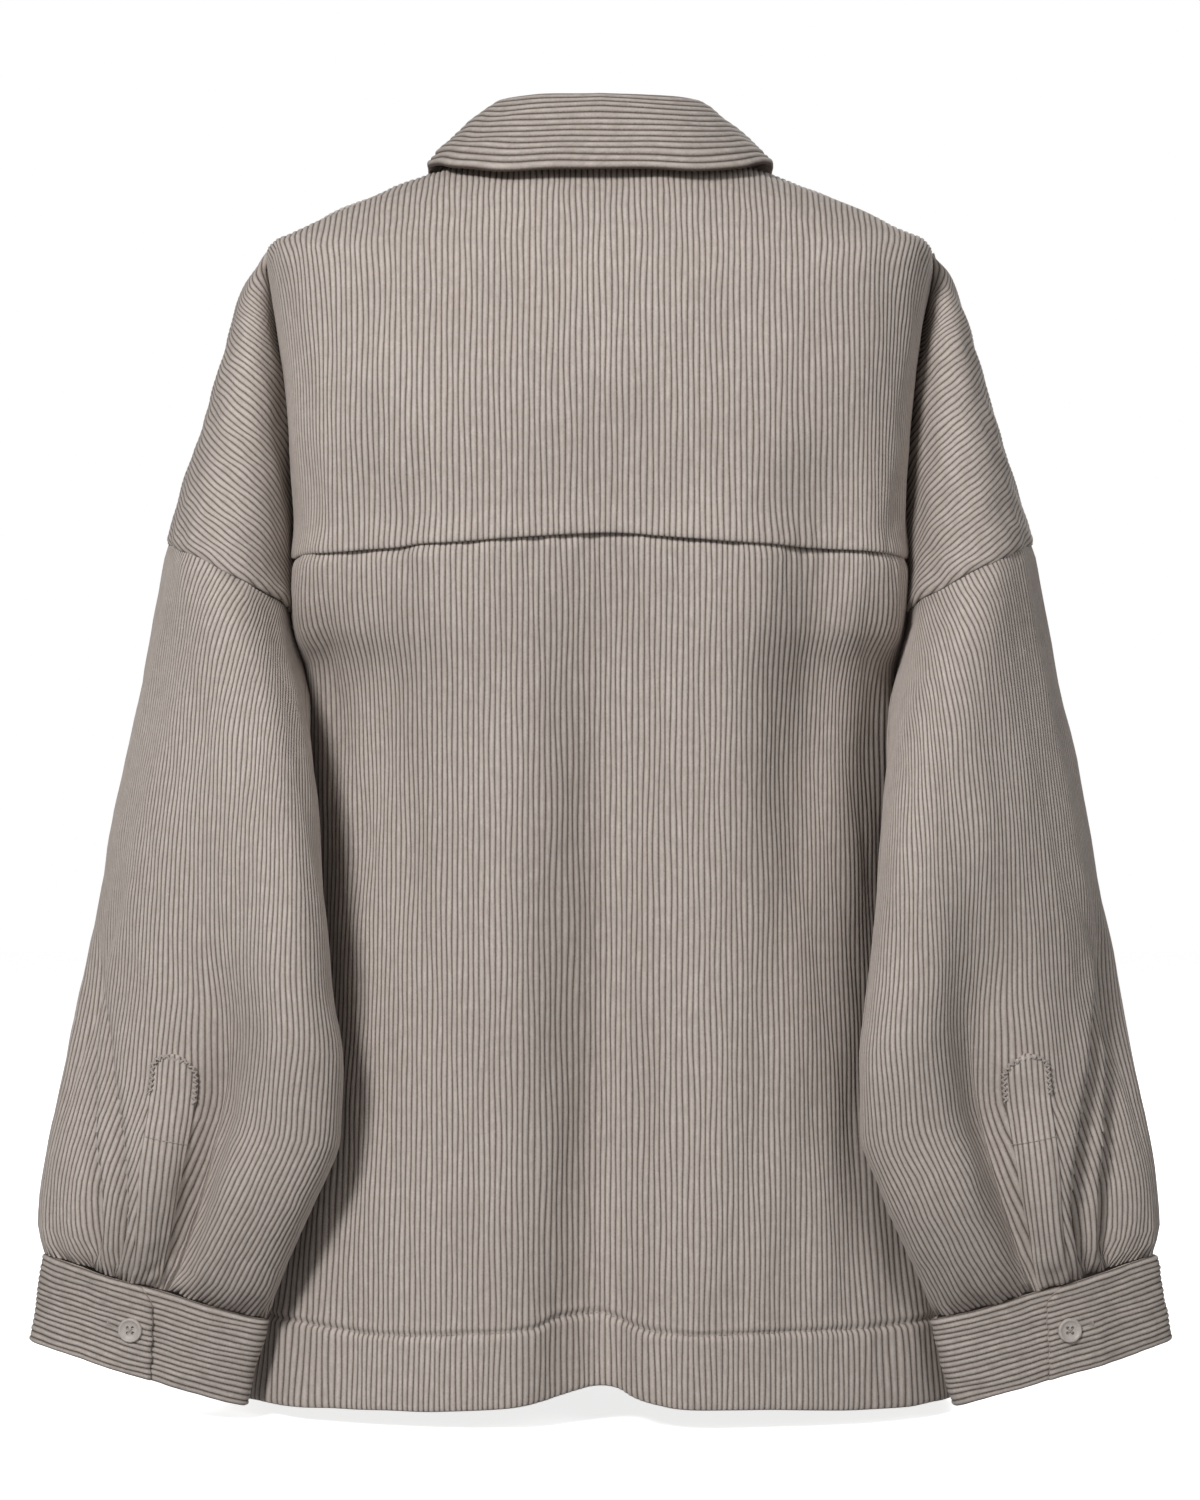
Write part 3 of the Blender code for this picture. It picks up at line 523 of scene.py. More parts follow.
class Cloth:
    """Gathers the shells of one piece and makes them one mesh."""

    def __init__(self, name):
        self.name = name
        self.points, self.faces, self.uv, self.flat_area = [], [], [], 0.0
        self.count = 0

    def add(self, base, middle, relief, ribs, run, thick=CLOTH, skip=(1, 4), wrap=False):
        """A shell over a grid of base points, in millimetres."""
        base = wander(base)
        normals, sign = outward_normals(base, middle)
        outer = base + normals * relief[..., None]
        rows, columns = base.shape[:2]
        pick_r = sorted({*range(0, rows, skip[0]), rows - 1})
        pick_c = sorted({*range(0, columns, skip[1]), columns - 1})
        if wrap:
            pick_c = list(range(0, columns, skip[1]))
        sunk = np.minimum(relief, 0)[..., None]
        inner = (base + normals * (sunk - thick))[np.ix_(pick_r, pick_c)]
        start = self.count
        number = start + np.arange(rows * columns).reshape(rows, columns)
        behind = start + rows * columns + np.arange(len(pick_r) * len(pick_c)).reshape(len(pick_r), -1)
        self.points += [outer.reshape(-1, 3), inner.reshape(-1, 3)]
        self.uv += [np.stack([np.broadcast_to(ribs, relief.shape).ravel(),
                              np.broadcast_to(run, relief.shape).ravel()], axis=1),
                    np.full((behind.size, 2), 0.5)]
        self.count += rows * columns + behind.size
        turned = sign > 0
        self.quads(number, wrap, not turned)
        self.quads(behind, wrap, turned)
        self.rims(number, behind, pick_r, pick_c, wrap, turned)
        ahead = np.linalg.norm(np.diff(base, axis=1), axis=2)[:-1]
        down = np.linalg.norm(np.diff(base, axis=0), axis=2)[:, :-1]
        self.flat_area += float((ahead * down).sum()) * 1e-6

    def quads(self, number, wrap, turned):
        right = np.roll(number, -1, axis=1) if wrap else number[:, 1:]
        left = number if wrap else number[:, :-1]
        faces = np.stack([left[:-1], left[1:], right[1:], right[:-1]], axis=-1).reshape(-1, 4)
        self.faces += (faces[:, ::-1] if turned else faces).tolist()

    def rims(self, number, behind, pick_r, pick_c, wrap, turned):
        columns = number.shape[1]
        sides = [(number[0], behind[0], pick_c, True), (number[-1], behind[-1], pick_c, False)]
        if not wrap:
            sides += [(number[:, 0], behind[:, 0], pick_r, False),
                      (number[:, -1], behind[:, -1], pick_r, True)]
        for outer, inner, picks, first in sides:
            ends = [*picks[1:], columns] if wrap else picks[1:]
            for k, end in enumerate(ends):
                walk = [int(outer[m % len(outer)]) for m in range(picks[k], end + 1)]
                face = [*walk, int(inner[(k + 1) % len(inner)]), int(inner[k])]
                self.faces.append(face[::-1] if first != turned else face)

    def rib_map(self, mesh):
        """The rib number and the place along the rib at every corner of every face."""
        corners = np.empty(len(mesh.loops), int)
        mesh.loops.foreach_get("vertex_index", corners)
        values = np.vstack(self.uv)[corners]
        starts = np.empty(len(mesh.polygons), int)
        mesh.polygons.foreach_get("loop_start", starts)
        owner = np.searchsorted(starts, np.arange(len(corners)), side="right") - 1
        highest = np.maximum.reduceat(values[:, 0], starts)[owner]
        values[:, 0] = np.where(highest - values[:, 0] > RIB_GAP, highest, values[:, 0])
        return values

    def finish(self, material, nodes):
        """Make the mesh, give it its map of ribs, attach it to the root and hide the parts it
        replaces.
        """
        points = np.vstack(self.points) * MM
        mesh = bpy.data.meshes.new(self.name)
        mesh.from_pydata(points.tolist(), [], self.faces)
        mesh.materials.append(material)
        mesh.shade_smooth()
        mesh.set_sharp_from_angle(angle=math.radians(SHARP_EDGE))
        values = self.rib_map(mesh)
        layer = mesh.uv_layers.new(name="ribs")
        layer.data.foreach_set("uv", values.ravel())
        made = add_object(self.name, mesh)
        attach(made, "root")
        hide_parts(*nodes)
        return made


# %% [markdown]
# ## What the cloth looks like
#
# The pile catches light on the crowns and swallows it in the furrows, and this is painted
# into the colour: painted shade in the furrows, and a painted highlight that makes the crowns
# a little paler than the flanks, varied at random like wear. A shader node group does this
# from the rib number, once, and each material gives it its own colours.

# %% A shader group for pile


def link(tree, source, target):
    tree.links.new(source, target)


def math_node(tree, operation, *values):
    node = tree.nodes.new("ShaderNodeMath")
    node.operation = operation
    for slot_number, value in enumerate(values):
        if isinstance(value, (int, float)):
            node.inputs[slot_number].default_value = value
        else:
            link(tree, value, node.inputs[slot_number])
    return node.outputs[0]


def noise_node(tree, vector, scale, detail=2.0):
    node = tree.nodes.new("ShaderNodeTexNoise")
    node.inputs["Scale"].default_value = scale
    node.inputs["Detail"].default_value = detail
    link(tree, vector, node.inputs["Vector"])
    return node.outputs["Fac"]


def mix_node(tree, share, first, second):
    node = tree.nodes.new("ShaderNodeMix")
    node.data_type = "RGBA"
    for name, value in (("Factor", share), ("A", first), ("B", second)):
        socket = [s for s in node.inputs if s.name == name and s.enabled][0]
        if isinstance(value, (tuple, float)):
            socket.default_value = value
        else:
            link(tree, value, socket)
    return [s for s in node.outputs if s.enabled][0]


FUZZ_SCALE, PATCH_SCALE, RUB_SCALE = 900.0, 14.0, 160.0
PILE_ROUND, FUZZ_SHARE, PATCH_SHARE = 0.8, 0.5, 0.5
FLANK_FROM, FLANK_STEEP = 0.08, 1.9
CROWN_FROM, CROWN_STEEP = 0.45, 1.7
FUZZ_HEIGHT, RIB_HEIGHT = 0.6, 0.5


def make_pile_group():
    """Colour and height of corduroy pile from the rib number, with painted shade and highlight."""
    tree = bpy.data.node_groups.new("corduroy_pile", "ShaderNodeTree")

    def maths(operation, *values):
        return math_node(tree, operation, *values)

    def clamped(value):
        return maths("MINIMUM", maths("MAXIMUM", value, 0.0), 1.0)

    for name, kind in (("Ribs", "NodeSocketVector"), ("Place", "NodeSocketVector"),
                       ("Furrow Colour", "NodeSocketColor"), ("Flank Colour", "NodeSocketColor"),
                       ("Crown Colour", "NodeSocketColor")):
        tree.interface.new_socket(name, in_out="INPUT", socket_type=kind)
    for name, kind in (("Colour", "NodeSocketColor"), ("Height", "NodeSocketFloat")):
        tree.interface.new_socket(name, in_out="OUTPUT", socket_type=kind)
    inside = tree.nodes.new("NodeGroupInput")
    out = tree.nodes.new("NodeGroupOutput")
    split = tree.nodes.new("ShaderNodeSeparateXYZ")
    link(tree, inside.outputs["Ribs"], split.inputs[0])
    wave = maths("SINE", maths("MULTIPLY", split.outputs["X"], math.pi))
    round_rib = maths("POWER", maths("ABSOLUTE", wave), PILE_ROUND)
    fuzz = noise_node(tree, inside.outputs["Place"], FUZZ_SCALE, 3.0)
    patches = noise_node(tree, inside.outputs["Place"], PATCH_SCALE, 3.0)
    rub = noise_node(tree, inside.outputs["Place"], RUB_SCALE, 2.0)
    ragged = maths("MULTIPLY", maths("SUBTRACT", fuzz, 0.5), FUZZ_SHARE)
    uneven = maths("ADD", round_rib, ragged)
    low = maths("MULTIPLY", maths("SUBTRACT", uneven, FLANK_FROM), FLANK_STEEP)
    high = maths("MULTIPLY", maths("SUBTRACT", uneven, CROWN_FROM), CROWN_STEEP)
    # The crowns get a painted highlight, varied at random by these two wear noises.
    wear_and_highlight = maths("ADD", rub, maths("MULTIPLY", patches, PATCH_SHARE))
    high = maths("MULTIPLY", high, wear_and_highlight)
    # The furrow colour is painted shade where the ribs dip, and the crown colour is a painted
    # highlight.
    furrow, crown = inside.outputs["Furrow Colour"], inside.outputs["Crown Colour"]
    flank = mix_node(tree, clamped(low), furrow, inside.outputs["Flank Colour"])
    link(tree, mix_node(tree, clamped(high), flank, crown), out.inputs["Colour"])
    height = maths("ADD", maths("MULTIPLY", fuzz, FUZZ_HEIGHT),
                   maths("MULTIPLY", round_rib, RIB_HEIGHT))
    link(tree, height, out.inputs["Height"])
    return tree


pile_group = make_pile_group()
print("pile group:", len(pile_group.nodes), "nodes")

# %% The cloth materials
PILE_BUMP = (0.6, 0.0004)
SHEEN = {"Sheen Weight": 0.10, "Sheen Roughness": 0.45, "Sheen Tint": (0.86, 0.80, 0.76, 1.0)}
# The colours of the furrows, as painted shade, the flanks, and the crowns, as a painted highlight.
PANEL_SHADE_AND_HIGHLIGHT_COLOURS = ((0.12, 0.092, 0.077), (0.35, 0.299, 0.266), (0.60, 0.537, 0.495))
BAND_SHADE_AND_HIGHLIGHT_COLOURS = ((0.075, 0.057, 0.047), (0.265, 0.226, 0.20), (0.56, 0.50, 0.46))


def new_material(name, **values):
    """A material, its tree, its shader with some inputs set, and the place on the object."""
    material = bpy.data.materials.new(name)
    material.use_nodes = True
    tree = material.node_tree
    shader = tree.nodes["Principled BSDF"]
    for socket, value in values.items():
        shader.inputs[socket.replace("_", " ")].default_value = value
    return material, tree, shader, tree.nodes.new("ShaderNodeTexCoord").outputs["Object"]


def raise_surface(tree, shader, height, strength, distance):
    """Let a height bend the shader's light, as fine relief."""
    raised = tree.nodes.new("ShaderNodeBump")
    raised.inputs["Strength"].default_value = strength
    raised.inputs["Distance"].default_value = distance
    link(tree, height, raised.inputs["Height"])
    link(tree, raised.outputs["Normal"], shader.inputs["Normal"])


def make_cloth_material(name, colours):
    material, tree, shader, place = new_material(name, Roughness=0.95, Specular_IOR_Level=0.15)
    for socket, value in SHEEN.items():
        shader.inputs[socket].default_value = value
    ribs = tree.nodes.new("ShaderNodeUVMap")
    ribs.uv_map = "ribs"
    pile = tree.nodes.new("ShaderNodeGroup")
    pile.node_tree = pile_group
    link(tree, ribs.outputs["UV"], pile.inputs["Ribs"])
    link(tree, place, pile.inputs["Place"])
    for word, colour in zip(("Furrow", "Flank", "Crown"), colours):
        pile.inputs[word + " Colour"].default_value = (*colour, 1.0)
    link(tree, pile.outputs["Colour"], shader.inputs["Base Color"])
    raise_surface(tree, shader, pile.outputs["Height"], *PILE_BUMP)
    return material


panel_cloth = make_cloth_material("corduroy_panels", PANEL_SHADE_AND_HIGHLIGHT_COLOURS)
band_cloth = make_cloth_material("corduroy_bands", BAND_SHADE_AND_HIGHLIGHT_COLOURS)
print("cloth materials:", panel_cloth.name, band_cloth.name)

# %% [markdown]
# ## The yoke
#
# The yoke is cut in one with both shoulder parts. Its ribs hang plumb and are cut off by
# the neck seam and the shoulder seam, so each rib starts at its own level. Its lower edge
# is turned under and lies on the lower back as a soft roll.

# %% Grids for the body
STRETCH_FROM = 150.0
LEAST_STEP = 0.4
TABLE_ROWS = np.linspace(0, LAST_ROW, 600)


def rib_columns(width, rib):
    """Distances across a panel of about this width, four steps to a rib."""
    return np.arange(4 * int(round(width / rib)) + 1) * rib / 4


def stretched(columns, spare):
    """Spread the spare width over the outer columns, where the ribs fan out."""
    return columns + spare * ease((columns - STRETCH_FROM) / (columns[-1] - STRETCH_FROM))


def first_levels(surface, columns, widest_row):
    """The level at which each rib starts on the neck seam or the shoulder seam."""
    rows = np.linspace(0, widest_row, 200)
    widths = np.maximum.accumulate(surface.width(rows))
    starts = np.interp(columns, widths, rows)
    return np.where(columns <= widths[0], 0.0, starts)


def row_shares(length, step, close):
    """Where the rows lie, 0 at the top: even steps, and closer ones where cloth is sewn."""
    places = [np.linspace(0, length, int(round(length / step)) + 1)]
    places += [np.arange(start, min(end, length), near) for start, end, near in close]
    places = np.sort(np.concatenate(places))
    kept = np.concatenate([[True], np.diff(places) > LEAST_STEP])
    kept[-1] = True
    return 1 - places[kept][::-1] / length


def body_grid(face, side, rib, top, bottom, step, close=()):
    """Points and rib numbers for half a body panel, its columns along the ribs."""
    surface = bodies[face, side]
    widest = WIDEST_ROW if top == 0 else YOKE_ROW
    columns = rib_columns(surface.width(widest), rib)
    starts = first_levels(surface, columns, widest) if top == 0 else np.full(len(columns), top)
    heights = BODY.read(face + "_z", TABLE_ROWS)
    top_z = np.interp(starts, TABLE_ROWS, heights)
    bottom_z = np.interp(bottom, TABLE_ROWS, heights)
    share = row_shares(top_z.max() - bottom_z, step, close)[:, None]
    z = top_z[None, :] * (1 - share) + bottom_z * share
    levels = np.interp(-z, -heights, TABLE_ROWS)
    levels[0] = starts
    width = surface.width(levels)
    spare = np.where(levels > widest, width - columns[-1], 0)
    across = np.minimum(np.where(levels > widest, stretched(columns, spare), columns), width)
    return surface.at(levels, across), columns / rib


def whole_grid(face, rib, top, bottom, step, close):
    """Both halves side by side, from the left side to the right."""
    left, left_ribs = body_grid(face, -1, rib, top, bottom, step, close)
    right, right_ribs = body_grid(face, 1, rib, top, bottom, step, close)
    ribs = np.concatenate([-left_ribs[:0:-1], right_ribs])
    return np.concatenate([left[:, :0:-1], right], axis=1), ribs


def body_middle(points):
    middle = points * 0
    middle[..., 2] = points[..., 2]
    return middle


# %% Seams and edges
# How deep and how wide, in mm, the cloth sinks at each kind of seam.
SEAMS = {
    "armhole": (1.1, 1.6), "shoulder": (0.7, 1.2), "hem": (1.5, 1.6), "placket": (0.6, 0.9),
    "sleeve_top": (1.0, 1.6), "strip": (0.5, 0.8), "cuff": (0.5, 0.8), "leaf": (0.5, 0.9),
}
BESIDE_RISE, BESIDE_AT = 0.25, 2.6
# How deep and how wide, in mm, the cloth is rounded off at each kind of edge.
EDGES = {
    "yoke": (1.0, 0.9), "hem": (1.1, 1.5), "placket": (1.2, 0.8), "sleeve_end": (1.4, 2.5),
    "strip": (1.3, 0.8), "strip_end": (1.0, 2.5), "cuff": (1.2, 1.0), "cuff_end": (1.1, 1.0),
    "leaf": (1.0, 1.0),
}


def seam(distance, kind):
    """Cloth sinks where it is sewn down, and rises again beside the stitches."""
    deep, wide = SEAMS[kind]
    beside = BESIDE_RISE * deep * bump(distance - BESIDE_AT * wide, wide)
    return -deep * np.exp(-(distance / wide) ** 2) + beside


def rounded(distance, kind):
    deep, wide = EDGES[kind]
    return -deep * np.exp(-distance / wide)


print("seams:", ", ".join(SEAMS), "| edges:", ", ".join(EDGES))

# %% Make the yoke
LAP_ROWS, LAP_LIFT, LAP_WIDE = 1.5 / 28, 2.9, 9.0
# Closer rows near the lower edge: from where, to where and how far apart, in mm.
EDGE_CLOSE = ((0, 5, 0.8), (5, 16, 1.8))
YOKE_STEP, PUCKER_TALL = 7.0, 12.0
SLANT_TOP, SLANT_LOW, SLANT_RUN = 0.85, 0.25, 60


def shoulder_grid(face, side, step_down=1.1, step_across=2.2):
    """The shoulder part as a close grid. Its ribs run across it at a slant."""
    surface = shoulders[face, side]
    rows = np.linspace(SHOULDER_TOP_ROW, SHOULDER_LAST_ROW, 241)
    down = travelled(surface.at(rows, 0.0))
    count = int(down[-1] / step_down)
    distance = np.linspace(0, down[-1], count)[:, None]
    levels = np.interp(distance, down, rows)
    widest = surface.width(levels).max()
    shares = np.linspace(0, 1, int(widest / step_across))[None, :]
    across = shares * surface.width(levels)
    points = surface.at(levels, across)
    slant = SLANT_TOP + (SLANT_LOW - SLANT_TOP) * ease(distance / SLANT_RUN)
    ribs = (distance - across * slant) / YOKE_RIB
    return points, ribs, distance, across, levels


def arm_middle(points, levels, side):
    middle = points.copy()
    middle[..., 0] = side * (BODY.read("side_x", levels) + SHOULDER.read("tip_x", levels)) / 2
    middle[..., 1] = BODY.read("side_y", levels)
    return middle


def add_shoulder(cloth, face, side):
    points, ribs, distance, across, levels = shoulder_grid(face, side)
    relief = RIB_RISE * rib_height(ribs) + waves(points, "shoulder", side)
    relief = relief + seam(distance.max() - distance, "armhole") + seam(across, "shoulder")
    middle = arm_middle(points, levels, side)
    cloth.add(points, middle, relief, ribs, distance * MM, skip=(4, 3))


def make_yoke():
    cloth = Cloth("back_yoke_cloth")
    points, ribs = whole_grid("back", YOKE_RIB, 0, YOKE_ROW + LAP_ROWS, YOKE_STEP, EDGE_CLOSE)
    height = points[..., 2]
    from_edge = height - height[-1:]
    relief = RIB_RISE * rib_height(ribs)[None, :] + waves(points, "yoke")
    relief = relief + LAP_LIFT * bump(from_edge, LAP_WIDE)
    relief = relief + waves(points, "yoke_edge") * bump(from_edge, PUCKER_TALL)
    relief = relief + rounded(from_edge, "yoke")
    cloth.add(points, body_middle(points), relief, ribs[None, :], height * MM)
    for side in SIDES:
        add_shoulder(cloth, "back", side)
    return cloth.finish(panel_cloth, ["back_yoke"])


make_yoke()

# %% [markdown]
# ## The lower back and its hem
#
# The lower back is one panel with a long soft trough down its middle. Its hem is turned
# up inside and held by one line of stitches, where the cloth sinks in.

# %% Make the lower back
HEM_LINE = Table("x z", [
    (-225, -696), (-200, -696.2), (-120, -700.6), (-84, -699.4), (-41.5, -695.8),
    (-25.5, -690.5), (-0.6, -689.3), (19, -695.2), (29.7, -697.6), (59, -699.4),
    (119, -698.2), (225, -698)])
FRONT_HEM_Z = -702.0
HEM_CLOSE = ((0, 4, 0.8), (34, 62, 1.5))
HEM_RISE, HEM_THICKER, HEM_PUCKER_TALL, TOP_PUCKER_TALL = 0.6, 1.2, 14.0, 18
PANEL_STEP = 8.0
# Under the arms the body is fuller and the sleeve gives way to it.
PIT_Z, PIT_TALL, PIT_X, PIT_SINK, PIT_FULL = -333.0, 78.0, 232.0, 6.0, 9.0
PIT_FROM_X, PIT_RUN = 160, 18
TOP_SINK, TOP_AT, TOP_WIDE = 2.6, 0.5, 3.4
PINCH_DEEP, PINCH_X, PINCH_WIDE, PINCH_AT, PINCH_TALL = 1.8, -2, 5, 6, 9


def hem_height(face, x):
    return HEM_LINE.read("z", x) if face == "back" else FRONT_HEM_Z + 0 * x


def lower_body(face, points, ribs):
    """The relief of a body panel down to its hem, and how thick its cloth is."""
    height = points[..., 2]
    from_hem = height - hem_height(face, points[..., 0])
    relief = RIB_RISE * rib_height(ribs)[None, :] + waves(points, face)
    beside = ease((np.abs(points[..., 0]) - PIT_FROM_X) / PIT_RUN)
    relief = relief + PIT_FULL * bump(height - PIT_Z, PIT_TALL) * beside
    relief = relief + seam(from_hem, "hem")
    relief = relief + HEM_RISE * ease(-from_hem / 5)
    relief = relief + waves(points, face + "_hem") * bump(from_hem, HEM_PUCKER_TALL)
    relief = relief + rounded(height - height[-1:], "hem")
    return relief, CLOTH + HEM_THICKER * ease(-from_hem / 3)[..., None]


hem_faces = {}


def add_hemmed(cloth, face, word, points, ribs, relief, thick):
    """Add a hemmed panel, and keep where its stitch line lies on every other column."""
    middle = body_middle(points)
    cloth.add(points, middle, relief, ribs[None, :], points[..., 2] * MM, thick=thick)
    base = wander(points)
    normals, _ = outward_normals(base, middle)
    outer = base + normals * relief[..., None]
    line = hem_height(face, points[0, :, 0])
    places, ways = [], []
    for column in range(0, outer.shape[1], 2):
        heights = points[::-1, column, 2]
        places.append(along(outer[::-1, column], heights, line[column]))
        ways.append(along(normals[::-1, column], heights, line[column]))
    hem_faces[word] = (np.array(places), np.array(ways))


def make_back():
    cloth = Cloth("back_panel_cloth")
    length = BODY.read("back_z", YOKE_ROW) - BODY.read("back_z", LAST_ROW)
    close = (*HEM_CLOSE, (length - 14, length - 5, 2.0), (length - 5, length, 0.9))
    points, ribs = whole_grid("back", PANEL_RIB, YOKE_ROW, LAST_ROW, PANEL_STEP, close)
    relief, thick = lower_body("back", points, ribs)
    top = points[:1, :, 2] - points[..., 2]
    relief = relief - TOP_SINK * bump(top - TOP_AT, TOP_WIDE)
    pinch = PINCH_DEEP * bump(points[..., 0] - PINCH_X, PINCH_WIDE) * bump(top - PINCH_AT, PINCH_TALL)
    relief = relief - pinch + waves(points, "back_top") * bump(top, TOP_PUCKER_TALL)
    add_hemmed(cloth, "back", "back", points, ribs, relief, thick)
    return cloth.finish(panel_cloth, ["back_panel"])


make_back()

# %% [markdown]
# ## The fronts
#
# Each front is one panel from the neck to the hem, with its own half of the shoulder part.
# They hardly show from the back, but the part is turned and used from all sides.

# %% Make the fronts


def make_front(side, name):
    cloth = Cloth(name + "_cloth")
    points, ribs = body_grid("front", side, PANEL_RIB, 0, LAST_ROW, PANEL_STEP, HEM_CLOSE)
    add_hemmed(cloth, "front", name, points, ribs, *lower_body("front", points, ribs))
    add_shoulder(cloth, "front", side)
    return cloth.finish(panel_cloth, [name])


make_front(-1, "front_left")
make_front(1, "front_right")

# %% [markdown]
# ## The button strip down the front
#
# A doubled strip covers both front edges. It follows the same surface as the fronts and
# stands out by its own thickness, so nothing has to be fitted afterwards.

# %% Make the front placket
STRIP_LIFT = 2.0
PLACKET_HALF_WIDTH, PLACKET_RIBS, PLACKET_SEAM = 17.0, 10, 5.0


def even_levels(heights, rows):
    """Levels that lie about one step of height apart."""
    count = int((heights[0] - heights[-1]) / PANEL_STEP) + 1
    return np.interp(-np.linspace(heights[0], heights[-1], count), -heights, rows)[:, None]


def make_front_placket():
    cloth = Cloth("front_placket_cloth")
    levels = even_levels(BODY.read("front_z", TABLE_ROWS), TABLE_ROWS)
    across = np.linspace(-1, 1, 4 * PLACKET_RIBS + 1)[None, :] * PLACKET_HALF_WIDTH
    left = bodies["front", -1].at(levels, np.maximum(-across, 0))
    right = bodies["front", 1].at(levels, np.maximum(across, 0))
    points = np.where((across < 0)[..., None], left, right)
    ribs = (across / PLACKET_HALF_WIDTH + 1) / 2 * PLACKET_RIBS
    edge = PLACKET_HALF_WIDTH - np.abs(across)
    relief = STRIP_LIFT + RIB_RISE * rib_height(ribs) + 0 * points[..., 2]
    relief = relief + seam(edge - PLACKET_SEAM, "placket") + rounded(edge, "placket")
    relief = relief + waves(points, "front")
    cloth.add(points, body_middle(points), relief, ribs, points[..., 2] * MM, thick=0.3)
    return cloth.finish(panel_cloth,
                        ["front_placket"])


make_front_placket()

# %% [markdown]
# ## The sleeves
#
# A sleeve is one tube. Its ribs run from the shoulder seam to the cuff. Towards the cuff
# the cloth is laid in two pleats and gathers softly just above the seam.

# %% Make the sleeves
GATHER_TALL, TOP_FLATTER, TOP_TALL, HOLLOW_RUN = 20.0, 0.6, 4.0, 30


def sleeve_middle(points, levels, side):
    """The middle of the arm beside every point of a grid on the sleeve."""
    middle = points.copy()
    middle[..., 0] = side * (SLEEVE.read("outer_x", levels) + SLEEVE.read("inner_x", levels)) / 2
    middle[..., 1] = SLEEVE.read("centre_y", levels)
    return middle


def sleeve_waves(points, side, from_cuff):
    """Soft creases all over the sleeve and gathers above the cuff, the same for all on it."""
    mirrored = points * np.array([side, 1.0, 1.0])
    hollow = bump(points[..., 2] - PIT_Z, PIT_TALL) * ease((PIT_X - mirrored[..., 0]) / HOLLOW_RUN)
    gathers = waves(mirrored, "gathers", side) * bump(from_cuff, GATHER_TALL)
    return waves(mirrored, "sleeve", side) - PIT_SINK * hollow + gathers


def sleeve_grid(side):
    """Points, rib numbers and levels all round the sleeve: by the back, then by the front."""
    rows = np.linspace(0, SLEEVE_RINGS, 400)
    levels = even_levels(SLEEVE.read("z", rows), rows)
    back, front = sleeves["back", side], sleeves["front", side]
    columns = rib_columns(back.widths.max(), PANEL_RIB)
    back_points = back.at(levels, stretched(columns, back.width(levels) - columns[-1]))
    front_ribs = int(round(front.widths.max() / PANEL_RIB))
    shares = np.arange(4 * front_ribs - 1, 0, -1) / (4 * front_ribs)
    front_points = front.at(levels, shares[None, :] * front.width(levels))
    points = np.concatenate([back_points, front_points], axis=1)
    ribs = np.concatenate([columns / PANEL_RIB, -shares * front_ribs])
    return points, ribs, levels


def make_sleeve(side, name):
    cloth = Cloth(name + "_cloth")
    points, ribs, levels = sleeve_grid(side)
    from_top = np.linalg.norm(points - points[:1], axis=2)
    from_cuff = np.linalg.norm(points - points[-1:], axis=2)
    relief = RIB_RISE * rib_height(ribs)[None, :] + sleeve_waves(points, side, from_cuff)
    relief = relief * (1 - TOP_FLATTER * bump(from_top, TOP_TALL)) + seam(from_top, "sleeve_top")
    relief = relief + rounded(from_cuff, "sleeve_end")
    middle = sleeve_middle(points, levels, side)
    cloth.add(points, middle, relief, ribs[None, :], points[..., 2] * MM, wrap=True)
    return cloth.finish(panel_cloth,
                        [name])


make_sleeve(-1, "sleeve_left")
make_sleeve(1, "sleeve_right")

# %% [markdown]
# ## The pointed strips beside the sleeve slits
#
# Each strip ends in a small arch and lies on the sleeve. It reads the sleeve's own curves
# between two places across it, so it follows the pleats.

# %% Make the sleeve plackets
STRIP_TOP, STRIP_END = 5.57, 9.9
ARCH_HEIGHT, ARCH_POWER = 8.0, 0.6
STRIP_RIBS, STRIP_ROWS, STRIP_CLOSER, STRIP_SEAM = 7, 40, 1.15, 3.5


def strip_grid(side):
    """Points, distances from the strip's middle line, and levels."""
    levels = np.interp(np.linspace(0, 1, STRIP_ROWS) ** STRIP_CLOSER, [0, 1], [STRIP_TOP, STRIP_END])
    shares = np.linspace(0, 1, 4 * STRIP_RIBS + 1)
    rows, widths, tip = [], [], None
    for level in levels:
        curve = fold_sleeve(ring_curve(SLEEVE.sizes(level), 0, 180), level)
        length = travelled(curve)
        start = np.interp(-SLEEVE_FOLDS.read("strip_outer_x", level), -curve[:, 0], length)
        end = np.interp(-SLEEVE_FOLDS.read("strip_inner_x", level), -curve[:, 0], length)
        middle = (start + end) / 2
        here = along(curve, length, middle)
        tip = here if tip is None else tip
        below = np.linalg.norm(here - tip)
        half = (end - start) / 2 * min(1.0, (0.02 + below / ARCH_HEIGHT) ** ARCH_POWER)
        rows.append(along(curve, length, middle + (2 * shares - 1) * half))
        widths.append((2 * shares - 1) * half)
    points = np.array(rows)
    points[..., 0] *= side
    return points, np.array(widths), levels[:, None]


strip_edges = {}


def make_sleeve_placket(side, name):
    cloth = Cloth(name + "_cloth")
    points, widths, levels = strip_grid(side)
    ribs = widths / PANEL_RIB
    edge = np.abs(widths[:, -1:]) - np.abs(widths)
    from_cuff = np.linalg.norm(points - points[-1:], axis=2)
    relief = STRIP_LIFT + RIB_RISE * rib_height(ribs) + sleeve_waves(points, side, from_cuff)
    relief = relief + rounded(edge, "strip") + seam(edge - STRIP_SEAM, "strip")
    relief = relief + rounded(from_cuff, "strip_end")
    middle = sleeve_middle(points, levels, side)
    normals, _ = outward_normals(points, middle)
    strip_edges[side] = (points + normals * (relief + 0.15)[..., None], normals)
    cloth.add(points, middle, relief, ribs, points[..., 2] * MM, thick=0.4, skip=(1, 4))
    return cloth.finish(panel_cloth,
                        [name])


